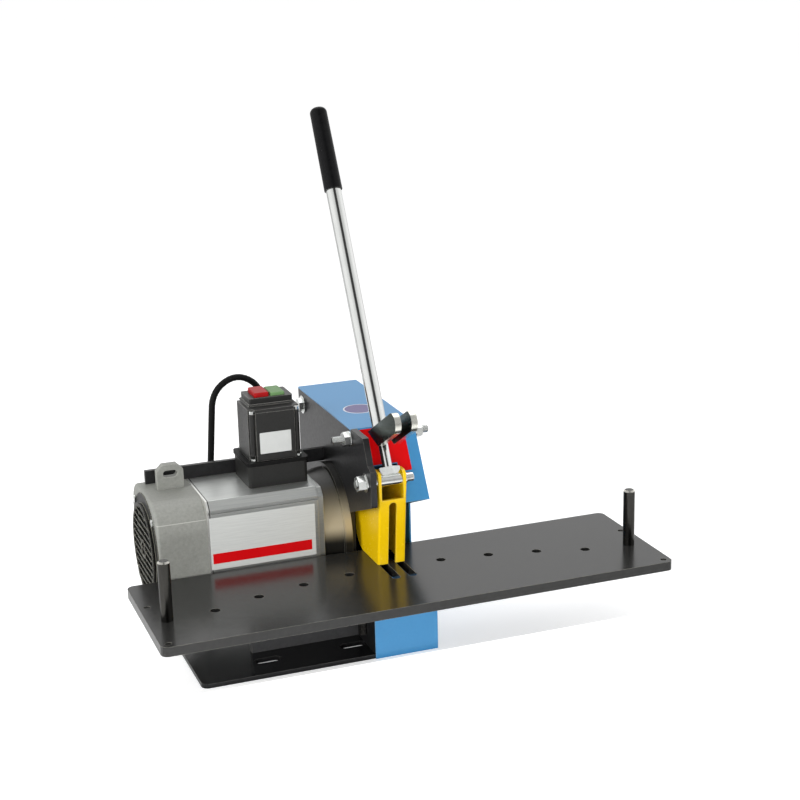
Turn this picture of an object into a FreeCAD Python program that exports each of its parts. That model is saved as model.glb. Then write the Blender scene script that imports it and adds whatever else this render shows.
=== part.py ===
import FreeCAD, Part
import math
import os
import Sketcher
from FreeCAD import Placement, Rotation, Vector

# Hose cutting machine: a motor turns a round knife behind a drilled table. A lever swings a fork
# down through two table slots and pushes the hose back onto the knife.
# Millimetres, +Z up. The blade turns in the plane X = 0, the operator stands at -Y, and the
# bench is Z = 0. The origin is the middle of the footprint.

doc = FreeCAD.newDocument("hose_cutter")
sheet = doc.addObject("Spreadsheet::Sheet", "sizes")
sheet_row = 0


class Size:
    """A length or an angle that keeps the sheet expression it comes from."""

    def __init__(self, value, text):
        self.value = value
        self.text = text

    def __add__(self, other):
        return Size(self.value + number(other), f"({self.text} + {words(other)})")

    def __radd__(self, other):
        return Size(number(other) + self.value, f"({words(other)} + {self.text})")

    def __sub__(self, other):
        return Size(self.value - number(other), f"({self.text} - {words(other)})")

    def __rsub__(self, other):
        return Size(number(other) - self.value, f"({words(other)} - {self.text})")

    def __mul__(self, other):
        return Size(self.value * number(other), f"({self.text} * {words(other)})")

    def __rmul__(self, other):
        return self * other

    def __truediv__(self, other):
        return Size(self.value / number(other), f"({self.text} / {words(other)})")

    def __neg__(self):
        return Size(-self.value, f"(0 - {self.text})")


def number(size):
    return size.value if isinstance(size, Size) else float(size)


def words(size):
    return size.text if isinstance(size, Size) else repr(float(size))


def root(size):
    return Size(math.sqrt(number(size)), f"sqrt({words(size)})")


def sine(angle):
    return Size(math.sin(math.radians(number(angle))), f"sin({words(angle)} * 1 deg)")


def cosine(angle):
    return Size(math.cos(math.radians(number(angle))), f"cos({words(angle)} * 1 deg)")


def cell(alias, value):
    """Keep one driving size in the sheet under its alias."""
    global sheet_row
    sheet_row += 1
    sheet.set(f"A{sheet_row}", alias)
    sheet.set(f"B{sheet_row}", str(value))
    sheet.setAlias(f"B{sheet_row}", alias)
    return Size(float(value), f"sizes.{alias}")


def bind(thing, path, size):
    """Tie a property of a document object to the sheet."""
    if isinstance(size, Size):
        thing.setExpression(path, size.text)


def set_length(thing, path, size):
    setattr(thing, path, number(size))
    bind(thing, path, size)


def place(thing, x=0, y=0, z=0):
    """Move an object to a place whose coordinates may be sizes."""
    thing.Placement.Base = Vector(number(x), number(y), number(z))
    for axis, size in (("x", x), ("y", y), ("z", z)):
        bind(thing, f"Placement.Base.{axis}", size)


def turn(thing, axis, angle):
    """Turn an object about an axis through its own origin."""
    thing.Placement.Rotation = Rotation(axis, number(angle))
    bind(thing, "Placement.Rotation.Angle", angle)


def new_body(label, x=0, y=0, z=0):
    body = doc.addObject("PartDesign::Body", label)
    body.Label = label
    place(body, x, y, z)
    return body


def new_sketch(body, plane, offset=0):
    """A sketch on one origin plane of its own body, moved along the plane's normal."""
    holder = [item for item in body.Origin.OriginFeatures if item.Role == plane][0]
    sketch = body.newObject("Sketcher::SketchObject", f"{body.Label}_sketch")
    sketch.AttachmentSupport = [(holder, "")]
    sketch.MapMode = "FlatFace"
    sketch.AttachmentOffset = Placement(Vector(0, 0, number(offset)), Rotation())
    bind(sketch, "AttachmentOffset.Base.z", offset)
    return sketch


def constrain(sketch, kind, geometry, point, size):
    """Fix one coordinate of a point, or a radius, at a size."""
    value = number(size)
    if kind == "Radius":
        index = sketch.addConstraint(Sketcher.Constraint(kind, geometry, value))
    else:
        index = sketch.addConstraint(Sketcher.Constraint(kind, -1, 1, geometry, point, value))
    if isinstance(size, Size):
        name = f"{kind}_{index}"
        sketch.renameConstraint(index, name)
        sketch.setExpression(f"Constraints.{name}", size.text)


def outline(sketch, points):
    """Close a loop of straight edges, each corner tied by its two coordinates."""
    first = sketch.GeometryCount
    count = len(points)
    flat = [Vector(number(point[0]), number(point[1]), 0) for point in points]
    for i in range(count):
        sketch.addGeometry(Part.LineSegment(flat[i], flat[(i + 1) % count]))
    for i in range(count):
        following = first + (i + 1) % count
        sketch.addConstraint(Sketcher.Constraint("Coincident", first + i, 2, following, 1))
    for i, point in enumerate(points):
        constrain(sketch, "DistanceX", first + i, 1, point[0])
        constrain(sketch, "DistanceY", first + i, 1, point[1])


def rectangle(sketch, x0, y0, x1, y1):
    outline(sketch, [(x0, y0), (x1, y0), (x1, y1), (x0, y1)])


def circle(sketch, x, y, radius):
    centre = Vector(number(x), number(y), 0)
    index = sketch.addGeometry(Part.Circle(centre, Vector(0, 0, 1), number(radius)))
    constrain(sketch, "DistanceX", index, 3, x)
    constrain(sketch, "DistanceY", index, 3, y)
    constrain(sketch, "Radius", index, 0, radius)


def slot(sketch, start, end, radius):
    """A slot with round ends, given by its two end centres, along the sketch's X or Y."""
    a = Vector(number(start[0]), number(start[1]), 0)
    b = Vector(number(end[0]), number(end[1]), 0)
    r = number(radius)
    along = (b - a).normalize()
    across = Vector(-along.y, along.x, 0) * r
    heading = math.atan2(along.y, along.x)
    quarter = math.pi / 2
    first = sketch.GeometryCount
    round_b = Part.Circle(b, Vector(0, 0, 1), r)
    round_a = Part.Circle(a, Vector(0, 0, 1), r)
    sketch.addGeometry(Part.LineSegment(a - across, b - across))
    sketch.addGeometry(Part.ArcOfCircle(round_b, heading - quarter, heading + quarter))
    sketch.addGeometry(Part.LineSegment(b + across, a + across))
    sketch.addGeometry(Part.ArcOfCircle(round_a, heading + quarter, heading + 3 * quarter))
    for i in range(4):
        joint = (first + i, 2, first + (i + 1) % 4, 1)
        sketch.addConstraint(Sketcher.Constraint("Tangent", *joint))
    constrain(sketch, "Radius", first + 1, 0, radius)
    for index, centre in ((first + 1, end), (first + 3, start)):
        constrain(sketch, "DistanceX", index, 3, centre[0])
        constrain(sketch, "DistanceY", index, 3, centre[1])


def rounded_square(sketch, half, radius):
    """A square about the sketch's origin with round corners."""
    side = number(half)
    r = number(radius)
    flat = side - r
    first = sketch.GeometryCount
    for i in range(4):
        heading = math.pi / 2 * i
        along = Vector(math.cos(heading), math.sin(heading), 0)
        out = Vector(along.y, -along.x, 0)
        start = out * side - along * flat
        end = out * side + along * flat
        corner = Part.Circle(out * flat + along * flat, Vector(0, 0, 1), r)
        sketch.addGeometry(Part.LineSegment(start, end))
        sketch.addGeometry(Part.ArcOfCircle(corner, heading - math.pi / 2, heading))
    for i in range(8):
        joint = (first + i, 2, first + (i + 1) % 8, 1)
        sketch.addConstraint(Sketcher.Constraint("Tangent", *joint))
    for i in range(1, 4):
        sketch.addConstraint(Sketcher.Constraint("Equal", first + 1, first + 2 * i + 1))
    constrain(sketch, "Radius", first + 1, 0, radius)
    constrain(sketch, "DistanceY", first, 1, -half)
    constrain(sketch, "DistanceX", first + 2, 1, half)
    constrain(sketch, "DistanceY", first + 4, 1, half)
    constrain(sketch, "DistanceX", first + 6, 1, -half)
    sketch.addConstraint(Sketcher.Constraint("Horizontal", first))
    sketch.addConstraint(Sketcher.Constraint("Vertical", first + 2))


def pad(body, sketch, length):
    """Thicken a sketch along its plane's normal."""
    made = body.newObject("PartDesign::Pad", f"{body.Label}_pad")
    made.Profile = sketch
    set_length(made, "Length", length)
    return made


def pocket(body, sketch, length=None, backwards=False):
    """Cut a sketch away, all through or to a depth, and make sure that it cuts."""
    doc.recompute()
    before = body.Shape.Volume
    made = body.newObject("PartDesign::Pocket", f"{body.Label}_pocket")
    made.Profile = sketch
    if length is None:
        made.Type = "ThroughAll"
        made.Midplane = True
    else:
        set_length(made, "Length", length)
        made.Reversed = backwards
    doc.recompute()
    if body.Shape.Volume > before - 0.01:
        raise RuntimeError(f"{made.Name} cuts nothing")
    return made


def revolve(body, points, plane="XY_Plane", axis="H_Axis", cut=False):
    """Turn a half section about a sketch axis."""
    sketch = new_sketch(body, plane)
    outline(sketch, points)
    kind = "PartDesign::Groove" if cut else "PartDesign::Revolution"
    made = body.newObject(kind, f"{body.Label}_turned")
    made.Profile = sketch
    made.ReferenceAxis = (sketch, [axis])
    made.Angle = 360
    return made


def edges_at(shape, axis, spots):
    """Names of the edges along one axis that stand at the given spots of the other two."""
    others = [i for i in range(3) if i != axis]
    names = []
    for index, edge in enumerate(shape.Edges):
        if edge.Curve.TypeId != "Part::GeomLine":
            continue
        ends = [vertex.Point for vertex in edge.Vertexes]
        direction = ends[1] - ends[0]
        if abs(direction[axis]) < 0.999 * direction.Length:
            continue
        for spot in spots:
            near = [abs(ends[0][others[i]] - number(spot[i])) < 0.01 for i in range(2)]
            if all(near):
                names.append(f"Edge{index + 1}")
    return names


def soften(body, axis, spots, radius, kind="Fillet"):
    """Round or bevel the edges of a body that run along one axis at the given spots."""
    doc.recompute()
    base = body.Tip
    made = body.newObject(f"PartDesign::{kind}", f"{body.Label}_{kind.lower()}")
    names = edges_at(base.Shape, axis, spots)
    if len(names) < len(spots):
        raise RuntimeError(f"{body.Label}: {len(names)} edges for {len(spots)} corners")
    made.Base = (base, names)
    set_length(made, "Radius" if kind == "Fillet" else "Size", radius)
    return made


def rim_edges(shape, axis, position, longest):
    """Names of the edges that lie in one plane across an axis, up to a length."""
    names = []
    for index, edge in enumerate(shape.Edges):
        places = [vertex.Point[axis] for vertex in edge.Vertexes]
        flat = all(abs(place - number(position)) < 0.01 for place in places)
        box = edge.BoundBox
        depth = (box.XLength, box.YLength, box.ZLength)[axis]
        if flat and depth < 0.01 and edge.Length < number(longest):
            names.append(f"Edge{index + 1}")
    return names


def soften_rim(body, axis, position, radius, longest=1e9, kind="Fillet"):
    """Round or bevel the rim of a body that lies in one plane."""
    doc.recompute()
    base = body.Tip
    made = body.newObject(f"PartDesign::{kind}", f"{body.Label}_rim")
    made.Base = (base, rim_edges(base.Shape, axis, position, longest))
    set_length(made, "Radius" if kind == "Fillet" else "Size", radius)
    return made


def soften_bend(body, ends, radius):
    """Round the straight edges that join pairs of points."""
    doc.recompute()
    base = body.Tip
    names = []
    for index, edge in enumerate(base.Shape.Edges):
        corners = [vertex.Point for vertex in edge.Vertexes]
        for pair in ends:
            spots = [Vector(*[number(size) for size in spot]) for spot in pair]
            met = [min(corner.distanceToPoint(spot) for corner in corners) for spot in spots]
            if max(met) < 0.01:
                names.append(f"Edge{index + 1}")
    made = body.newObject("PartDesign::Fillet", f"{body.Label}_bend")
    made.Base = (base, names)
    set_length(made, "Radius", radius)


def upright(thing, z):
    """Lift a piece that stands along Z to a height."""
    place(thing, 0, 0, z)
    return thing


def lie_along_x(thing, x, y, z):
    """Lay a piece that was made along Z so that it starts at X and runs to the right."""
    thing.Placement.Rotation = Rotation(Vector(0, 1, 0), 90)
    place(thing, x, y, z)
    return thing


def rod(name, radius, height):
    made = doc.addObject("Part::Cylinder", name)
    set_length(made, "Radius", radius)
    set_length(made, "Height", height)
    return made


def prism(name, across, height, flat_right=False):
    """A hexagon bar of a spanner size, with a corner or a flat to the right."""
    made = doc.addObject("Part::Prism", name)
    made.Polygon = 6
    set_length(made, "Circumradius", across / root(3))
    set_length(made, "Height", height)
    if flat_right:
        made.Placement.Rotation = Rotation(Vector(0, 0, 1), 30)
    return made


def cut(name, base_solid, tool):
    made = doc.addObject("Part::Cut", name)
    made.Base = base_solid
    made.Tool = tool
    return made


def nut(name, across, height, bore, flat_right=False):
    blank = prism(f"{name}_hex", across, height, flat_right)
    return cut(name, blank, rod(f"{name}_drill", bore, height))


def washer(name, radius, thick, bore):
    return cut(name, rod(f"{name}_disc", radius, thick), rod(f"{name}_drill", bore, thick))


def group(label, pieces):
    """Put separate solids of one kind in one node."""
    made = doc.addObject("Part::Compound", label)
    made.Label = label
    made.Links = pieces
    return made


def fuse(label, pieces):
    made = doc.addObject("Part::MultiFuse", label)
    made.Label = label
    made.Shapes = pieces
    return made


ALONG_X, ALONG_Y, ALONG_Z = range(3)
SIDE = "YZ_Plane"
PLAN = "XY_Plane"
FRONT = "XZ_Plane"

# Driving sizes: the frame
table_length = cell("table_length", 660)
table_depth = cell("table_depth", 200)
table_thick = cell("table_thick", 12)
table_height = cell("table_height", 120)
table_corner = cell("table_corner", 9)
table_screw_radius = cell("table_screw_radius", 4)
table_screw_inset = cell("table_screw_inset", 10)
table_screw_back = cell("table_screw_back", 125)
machine_depth = cell("machine_depth", 420)
base_thick = cell("base_thick", 6)
base_left = cell("base_left", 258)
plate_thick = cell("plate_thick", 8)
plate_gap = cell("plate_gap", 23)
wall_gap = cell("wall_gap", 52.5)
sheet_thick = cell("sheet_thick", 2)
foot_front = cell("foot_front", 124)
arm_front = cell("arm_front", 122.5)
arm_bottom = cell("arm_bottom", 84)
arm_nose = cell("arm_nose", 37)
throat_back = cell("throat_back", 212)
throat_top = cell("throat_top", 50)
hood_height = cell("hood_height", 168)
hood_fold = cell("hood_fold", 193.4)
hood_drop = cell("hood_drop", 89.6)
hood_slope = cell("hood_slope", 30.3)
bracket_reach = cell("bracket_reach", 145)
bracket_inset = cell("bracket_inset", 1)
stud_left = cell("stud_left", 42)
stud_front = cell("stud_front", 138)
stud_length = cell("stud_length", 78)
bench_slot_length = cell("bench_slot_length", 36)
bench_slot_width = cell("bench_slot_width", 14)
bench_slot_pitch_x = cell("bench_slot_pitch_x", 115)
bench_slot_pitch_y = cell("bench_slot_pitch_y", 220)
bench_slot_front = cell("bench_slot_front", 40)
bench_slot_side = cell("bench_slot_side", 95)

# Driving sizes: the table's slots and pin holes
fork_pitch = cell("fork_pitch", 22)
slot_width = cell("slot_width", 11)
slot_front = cell("slot_front", 88)
notch_front = cell("notch_front", 152)
pin_bore = cell("pin_bore", 6.25)
pin_arc_radius = cell("pin_arc_radius", 690)
pin_arc_front = cell("pin_arc_front", 128.5)
pin_arc_first = cell("pin_arc_first", 5.15)
pin_arc_step = cell("pin_arc_step", 5.25)
pin_reach = cell("pin_reach", 306)
pin_front = cell("pin_front", 77)
pin_radius = cell("pin_radius", 7.5)
pin_height = cell("pin_height", 75)

# Driving sizes: the lever, its pivot and the guard
pivot_front = cell("pivot_front", 138)
pivot_height = cell("pivot_height", 113)
pivot_radius = cell("pivot_radius", 6)
pivot_right = cell("pivot_right", 31)
lever_lean = cell("lever_lean", 28.66)
lever_length = cell("lever_length", 503)
lever_radius = cell("lever_radius", 10)
hub_radius = cell("hub_radius", 8.5)
neck_radius = cell("neck_radius", 6.6)
neck_top = cell("neck_top", 66)
grip_length = cell("grip_length", 115)
grip_radius = cell("grip_radius", 12)
fork_thick = cell("fork_thick", 8)
fork_low = cell("fork_low", 40)
fork_width = cell("fork_width", 26)
fork_reach = cell("fork_reach", 102)
fork_heel = cell("fork_heel", 7)
fork_heel_low = cell("fork_heel_low", 23)
guard_width = cell("guard_width", 37)
guard_sheet = cell("guard_sheet", 4)
guard_slot = cell("guard_slot", 10)
guard_crossbar = cell("guard_crossbar", 89.5)
guard_bar_thick = cell("guard_bar_thick", 4)
guard_lean = cell("guard_lean", 11)
guard_reach = cell("guard_reach", 86)
guard_rise = cell("guard_rise", 65)
ear_top = cell("ear_top", 13)
ear_front = cell("ear_front", 10)
tie_back = cell("tie_back", 196)
tie_height = cell("tie_height", 155)
tie_radius = cell("tie_radius", 5)
tie_shoulder = cell("tie_shoulder", 6.3)
tie_left = cell("tie_left", 25)
tie_right = cell("tie_right", 20)
hood_bolt_inset = cell("hood_bolt_inset", 22)
hood_bolt_height = cell("hood_bolt_height", 148)

# Driving sizes: the knife, the spindle and the motor
blade_radius = cell("blade_radius", 125)
blade_thick = cell("blade_thick", 2.5)
blade_bevel = cell("blade_bevel", 12)
clamp_radius = cell("clamp_radius", 40)
clamp_thick = cell("clamp_thick", 8)
spindle_behind = cell("spindle_behind", 80)
spindle_height = cell("spindle_height", 16)
shaft_radius = cell("shaft_radius", 12.5)
thread_radius = cell("thread_radius", 10)
motor_square = cell("motor_square", 152)
motor_bevel = cell("motor_bevel", 10)
motor_right = cell("motor_right", 75)
motor_length = cell("motor_length", 146)
motor_bore = cell("motor_bore", 66)
end_ring_thick = cell("end_ring_thick", 8)
flange_radius = cell("flange_radius", 81)
flange_thick = cell("flange_thick", 10)
bearing_front_radius = cell("bearing_front_radius", 26)
bearing_front_width = cell("bearing_front_width", 15)
bearing_rear_radius = cell("bearing_rear_radius", 23.5)
bearing_rear_width = cell("bearing_rear_width", 14)
rotor_radius = cell("rotor_radius", 38)
rotor_length = cell("rotor_length", 80)
air_gap = cell("air_gap", 0.5)
cover_length = cell("cover_length", 64)
cover_round = cell("cover_round", 40)
cover_wall = cell("cover_wall", 3)
fan_radius = cell("fan_radius", 60)
grille_radius = cell("grille_radius", 57)
grille_bar = cell("grille_bar", 3)
lug_width = cell("lug_width", 35)
lug_height = cell("lug_height", 33)
lug_thick = cell("lug_thick", 10)
lug_left = cell("lug_left", 266)
bar_height = cell("bar_height", 18)
bar_thick = cell("bar_thick", 6)
bar_behind = cell("bar_behind", 38)
bar_left = cell("bar_left", 275)

# Driving sizes: the switch box and its cable
box_left = cell("box_left", 156)
box_right = cell("box_right", 77)
box_before = cell("box_before", 44)
box_depth = cell("box_depth", 73)
box_height = cell("box_height", 29)
box_joint = cell("box_joint", 5)
box_wall = cell("box_wall", 2.5)
cover_left = cell("cover_left", 151)
cover_right = cell("cover_right", 83)
cover_channel = cell("cover_channel", 8)
cover_inset = cell("cover_inset", 3)
cover_height = cell("cover_height", 68)
block_left = cell("block_left", 144)
block_right = cell("block_right", 86)
block_before = cell("block_before", 18)
block_height = cell("block_height", 10)
button_width = cell("button_width", 20)
button_depth = cell("button_depth", 34)
button_travel = cell("button_travel", 3)
cable_radius = cell("cable_radius", 4.4)
plug_radius = cell("plug_radius", 19)
plug_length = cell("plug_length", 66)
plug_sleeve = cell("plug_sleeve", 30)
plug_pin_radius = cell("plug_pin_radius", 2.4)
plug_pin_length = cell("plug_pin_length", 19)

# Clearances: between moving pieces, and round a shaft that runs in a bore
clearance = cell("clearance", 0.3)
running = cell("running", 0.05)


def back(distance):
    """A place measured back from the table's front edge."""
    return distance - machine_depth / 2


def above(distance):
    """A height measured from the table's top."""
    return table_height + distance


table_under = table_height - table_thick
plate_left = -plate_gap - plate_thick
wall_right = wall_gap + sheet_thick
rear = machine_depth / 2
hood_top = above(hood_height)
spindle_y = back(table_depth) + spindle_behind
spindle_z = above(spindle_height)
pivot_y = back(pivot_front)
pivot_z = above(pivot_height)
tie_y = back(tie_back)
tie_z = above(tie_height)

# Base plate: lies on the bench, with four slots for bench bolts
base = new_body("base_plate")
sketch = new_sketch(base, PLAN)
rectangle(sketch, -base_left, back(foot_front), wall_gap, rear)
pad(base, sketch, base_thick)
soften(base, ALONG_Z, [(-base_left, back(foot_front)), (-base_left, rear)], table_corner)
slot_half = (bench_slot_length - bench_slot_width) / 2
for column in range(2):
    for row in range(2):
        slot_x = -base_left + bench_slot_side + column * bench_slot_pitch_x
        slot_y = back(foot_front) + bench_slot_front + row * bench_slot_pitch_y
        sketch = new_sketch(base, PLAN)
        slot(sketch, (slot_x - slot_half, slot_y), (slot_x + slot_half, slot_y),
             bench_slot_width / 2)
        pocket(base, sketch)

# Side plate: a thick C whose throat lets the hose through; it carries the motor and the pivot
side = new_body("side_plate")
sketch = new_sketch(side, SIDE, plate_left)
arm_y = back(arm_front)
nose_z = hood_top - arm_nose
outline(sketch, [
    (back(foot_front), base_thick),
    (rear, base_thick),
    (rear, hood_top - sheet_thick),
    (back(hood_fold), hood_top - sheet_thick),
    (back(hood_fold), hood_top),
    (arm_y + arm_nose * 0.68, hood_top),
    (arm_y + arm_nose * 0.27, nose_z + arm_nose * 0.14),
    (arm_y, nose_z),
    (arm_y, above(arm_bottom)),
    (back(throat_back), above(throat_top)),
    (back(throat_back), table_under),
    (back(foot_front), table_under),
])
pad(side, sketch, plate_thick)
soften(side, ALONG_X, [(arm_y, above(arm_bottom)), (back(throat_back), above(throat_top))],
       plate_thick / 2)
flange_screw_radius = plate_thick / 2
flange_screw_circle = (motor_bore + flange_radius) / 2 - clearance
shaft_window = motor_bore * 0.68
hood_bolt_y = rear - hood_bolt_inset
hood_bolt_z = above(hood_bolt_height)
sketch = new_sketch(side, SIDE, plate_left)
circle(sketch, spindle_y, spindle_z, shaft_window)
circle(sketch, pivot_y, pivot_z, pivot_radius)
circle(sketch, tie_y, tie_z, tie_radius)
circle(sketch, hood_bolt_y, hood_bolt_z, tie_radius)
for quarter in range(4):
    angle = 45 + 90 * quarter
    circle(sketch, spindle_y + flange_screw_circle * cosine(angle),
           spindle_z + flange_screw_circle * sine(angle), flange_screw_radius)
pocket(side, sketch)

# Table bracket: an upright plate that carries the table's left half
bracket = new_body("table_bracket")
sketch = new_sketch(bracket, FRONT, bracket_inset - back(table_depth))
outline(sketch, [
    (plate_left, base_thick),
    (plate_left, table_under),
    (plate_left - bracket_reach, table_under),
    (plate_left - bracket_reach, base_thick),
])
pad(bracket, sketch, plate_thick)

# Table plate: pin holes on an arc, two slots for the fork and a notch for the knife
table = new_body("table_plate")
sketch = new_sketch(table, PLAN, table_under)
half_length = table_length / 2
rectangle(sketch, -half_length, back(0), half_length, back(table_depth))
pad(table, sketch, table_thick)
table_corners = [(x, y) for x in (-half_length, half_length) for y in (back(0), back(table_depth))]
soften(table, ALONG_Z, table_corners, table_corner)
notch_half = (fork_pitch + slot_width) / 2
sketch = new_sketch(table, PLAN, table_under)
rectangle(sketch, -notch_half, back(notch_front), notch_half, back(table_depth) + table_corner)
pocket(table, sketch)
for side_sign in (-1, 1):
    slot_x = side_sign * fork_pitch / 2
    sketch = new_sketch(table, PLAN, table_under)
    slot(sketch, (slot_x, back(slot_front) + slot_width / 2),
         (slot_x, back(notch_front) + slot_width / 2), slot_width / 2)
    pocket(table, sketch)
sketch = new_sketch(table, PLAN, table_under)
arc_y = back(pin_arc_front) - pin_arc_radius
screw_x = half_length - table_screw_inset
screw_rows = (back(table_screw_inset), back(table_screw_back))
for side_sign in (-1, 1):
    for hole in range(4):
        angle = pin_arc_first + hole * pin_arc_step
        circle(sketch, side_sign * pin_arc_radius * sine(angle),
               arc_y + pin_arc_radius * cosine(angle), pin_bore)
    circle(sketch, side_sign * pin_reach, back(pin_front), pin_bore)
    for row in screw_rows:
        circle(sketch, side_sign * screw_x, row, table_screw_radius)
pocket(table, sketch)

# Table screws: headless screws, just below the table's top
screws = []
for side_sign in (-1, 1):
    for row in screw_rows:
        screw = rod("table_screw", table_screw_radius, table_thick - sheet_thick)
        place(screw, side_sign * screw_x, row, table_under + sheet_thick / 2)
        screws.append(screw)
group("table_screws", screws)

# Table stud: a threaded bar that hangs under the table, held by its nut
stud_y = back(stud_front)
stud_edge = tie_radius * 0.2
stud = new_body("table_stud", -stud_left, stud_y, table_under)
revolve(stud, [
    (0, -stud_length),
    (tie_radius - stud_edge, -stud_length),
    (tie_radius, stud_edge - stud_length),
    (tie_radius, 0),
    (0, 0),
], FRONT, "V_Axis")
nut_across = tie_radius * 3.4
nut_high = tie_radius * 1.68
stud_nut = nut("stud_nut", nut_across, nut_high, tie_radius)
place(stud_nut, -stud_left, stud_y, table_under - nut_high)

# Bending pins: turned posts whose spigots stand in the outermost table holes
for side_name, side_sign in (("left", -1), ("right", 1)):
    pin = new_body(f"{side_name}_pin", side_sign * pin_reach, back(pin_front), table_height)
    pin_edge = pin_radius * 0.25
    spigot = pin_bore - clearance
    revolve(pin, [
        (0, -table_thick),
        (spigot, -table_thick),
        (spigot, 0),
        (pin_radius, 0),
        (pin_radius, pin_height - pin_edge),
        (pin_radius - pin_edge, pin_height),
        (0, pin_height),
    ], FRONT, "V_Axis")

# Hood: one folded sheet over the knife, open to the side plate and below
hood = new_body("hood")
slant = sine(hood_slope) / cosine(hood_slope)
fold_y = back(hood_fold)
toe_y = fold_y - hood_drop * slant
toe_z = hood_top - hood_drop
sheet_step = sheet_thick / cosine(hood_slope)
inner_fold_y = fold_y + sheet_step - sheet_thick * slant
sketch = new_sketch(hood, SIDE, -plate_gap)
outline(sketch, [
    (toe_y, toe_z),
    (fold_y, hood_top),
    (rear, hood_top),
    (rear, base_thick),
    (rear - sheet_thick, base_thick),
    (rear - sheet_thick, hood_top - sheet_thick),
    (inner_fold_y, hood_top - sheet_thick),
    (toe_y + sheet_step, toe_z),
])
pad(hood, sketch, plate_gap + wall_right)
sketch = new_sketch(hood, SIDE, plate_left)
rectangle(sketch, fold_y, hood_top - sheet_thick, rear, hood_top)
pad(hood, sketch, plate_thick)
sketch = new_sketch(hood, SIDE, wall_gap)
outline(sketch, [
    (toe_y, toe_z),
    (fold_y, hood_top),
    (rear, hood_top),
    (rear, 0),
    (back(throat_back), 0),
    (back(throat_back), above(throat_top)),
])
pad(hood, sketch, sheet_thick)
swing_room = guard_width / 2 + sheet_thick
sketch = new_sketch(hood, PLAN, toe_z + hood_drop / 2)
rectangle(sketch, -swing_room, toe_y - hood_drop, swing_room, fold_y)
pocket(hood, sketch, hood_drop)
sketch = new_sketch(hood, SIDE, wall_right)
circle(sketch, tie_y, tie_z, tie_radius)
pocket(hood, sketch, sheet_thick)

# Lower guard: an angle of sheet that closes the knife's space below the table
lower = new_body("lower_guard")
sketch = new_sketch(lower, PLAN)
outline(sketch, [
    (plate_left, back(foot_front) - sheet_thick),
    (wall_right, back(foot_front) - sheet_thick),
    (wall_right, back(throat_back)),
    (wall_gap, back(throat_back)),
    (wall_gap, back(foot_front)),
    (plate_left, back(foot_front)),
])
pad(lower, sketch, table_under)

# Tie rod: its shoulders space the hood's wall from the side plate, with a nut outside each
washer_thick = tie_radius * 0.4
washer_radius = tie_radius * 2
tie = new_body("tie_rod", 0, tie_y, tie_z)
tie_x0 = plate_left - tie_left
tie_x1 = wall_right + tie_right
tie_edge = tie_radius * 0.2
revolve(tie, [
    (tie_x0, 0),
    (tie_x0, tie_radius - tie_edge),
    (tie_x0 + tie_edge, tie_radius),
    (-plate_gap, tie_radius),
    (-plate_gap, tie_shoulder),
    (wall_gap, tie_shoulder),
    (wall_gap, tie_radius),
    (tie_x1 - tie_edge, tie_radius),
    (tie_x1, tie_radius - tie_edge),
    (tie_x1, 0),
])
nut_starts = [plate_left - washer_thick - nut_high, wall_right + washer_thick]
tie_nuts = [lie_along_x(nut("tie_nut", nut_across, nut_high, tie_radius), x, tie_y, tie_z)
            for x in nut_starts]
washers = [lie_along_x(washer("tie_washer", washer_radius, washer_thick, tie_radius),
                       x, tie_y, tie_z)
           for x in (plate_left - washer_thick, wall_right)]
group("tie_washers", washers)

# Hood bolt: clamps the back of the side plate, with a broad washer and a nut inside
bolt_length = plate_thick + washer_thick + nut_high
bolt_head = tie_radius * 1.28
bolt_x = plate_left - washer_thick
shank = lie_along_x(rod("hood_bolt_shank", tie_radius, bolt_length), bolt_x,
                    hood_bolt_y, hood_bolt_z)
head = lie_along_x(prism("hood_bolt_head", nut_across, bolt_head), bolt_x - bolt_head,
                   hood_bolt_y, hood_bolt_z)
fuse("hood_bolt", [shank, head])
bolt_nut = lie_along_x(nut("bolt_nut", nut_across, nut_high, tie_radius),
                       -plate_gap, hood_bolt_y, hood_bolt_z)
group("m10_nuts", [stud_nut, bolt_nut] + tie_nuts)
bolt_washer = lie_along_x(washer("hood_bolt_washer", washer_radius * 1.25, washer_thick,
                                 tie_radius), bolt_x, hood_bolt_y, hood_bolt_z)
bolt_washer.Label = "hood_bolt_washer"

# Pivot shaft: a stepped pin clamped in the side plate, with a bare end past the guard
pivot = new_body("pivot_shaft", 0, pivot_y, pivot_z)
pivot_nut_high = pivot_radius * 1.8
pivot_washer_thick = pivot_radius * 0.4
pivot_left = plate_left - pivot_washer_thick - pivot_nut_high - pivot_radius / 3
collar_end = -guard_width / 2 - clearance
pivot_edge = pivot_radius * 0.15
revolve(pivot, [
    (pivot_left, 0),
    (pivot_left, pivot_radius - pivot_edge),
    (pivot_left + pivot_edge, pivot_radius),
    (-plate_gap, pivot_radius),
    (-plate_gap, pivot_radius * 1.35),
    (collar_end, pivot_radius * 1.35),
    (collar_end, pivot_radius),
    (pivot_right - pivot_edge, pivot_radius),
    (pivot_right, pivot_radius - pivot_edge),
    (pivot_right, 0),
])
pivot_nut = lie_along_x(nut("pivot_nut", pivot_radius * 3, pivot_nut_high, pivot_radius),
                        plate_left - pivot_washer_thick - pivot_nut_high, pivot_y, pivot_z)
pivot_nut.Label = "pivot_nut"
pivot_washer = lie_along_x(washer("pivot_washer", pivot_radius * 2, pivot_washer_thick,
                                  pivot_radius), plate_left - pivot_washer_thick,
                           pivot_y, pivot_z)
pivot_washer.Label = "pivot_washer"
pivot_clip = lie_along_x(washer("pivot_clip", pivot_radius * 1.5, pivot_radius * 0.25,
                                pivot_radius), guard_width / 2 + clearance, pivot_y, pivot_z)
pivot_clip.Label = "pivot_clip"


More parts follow.
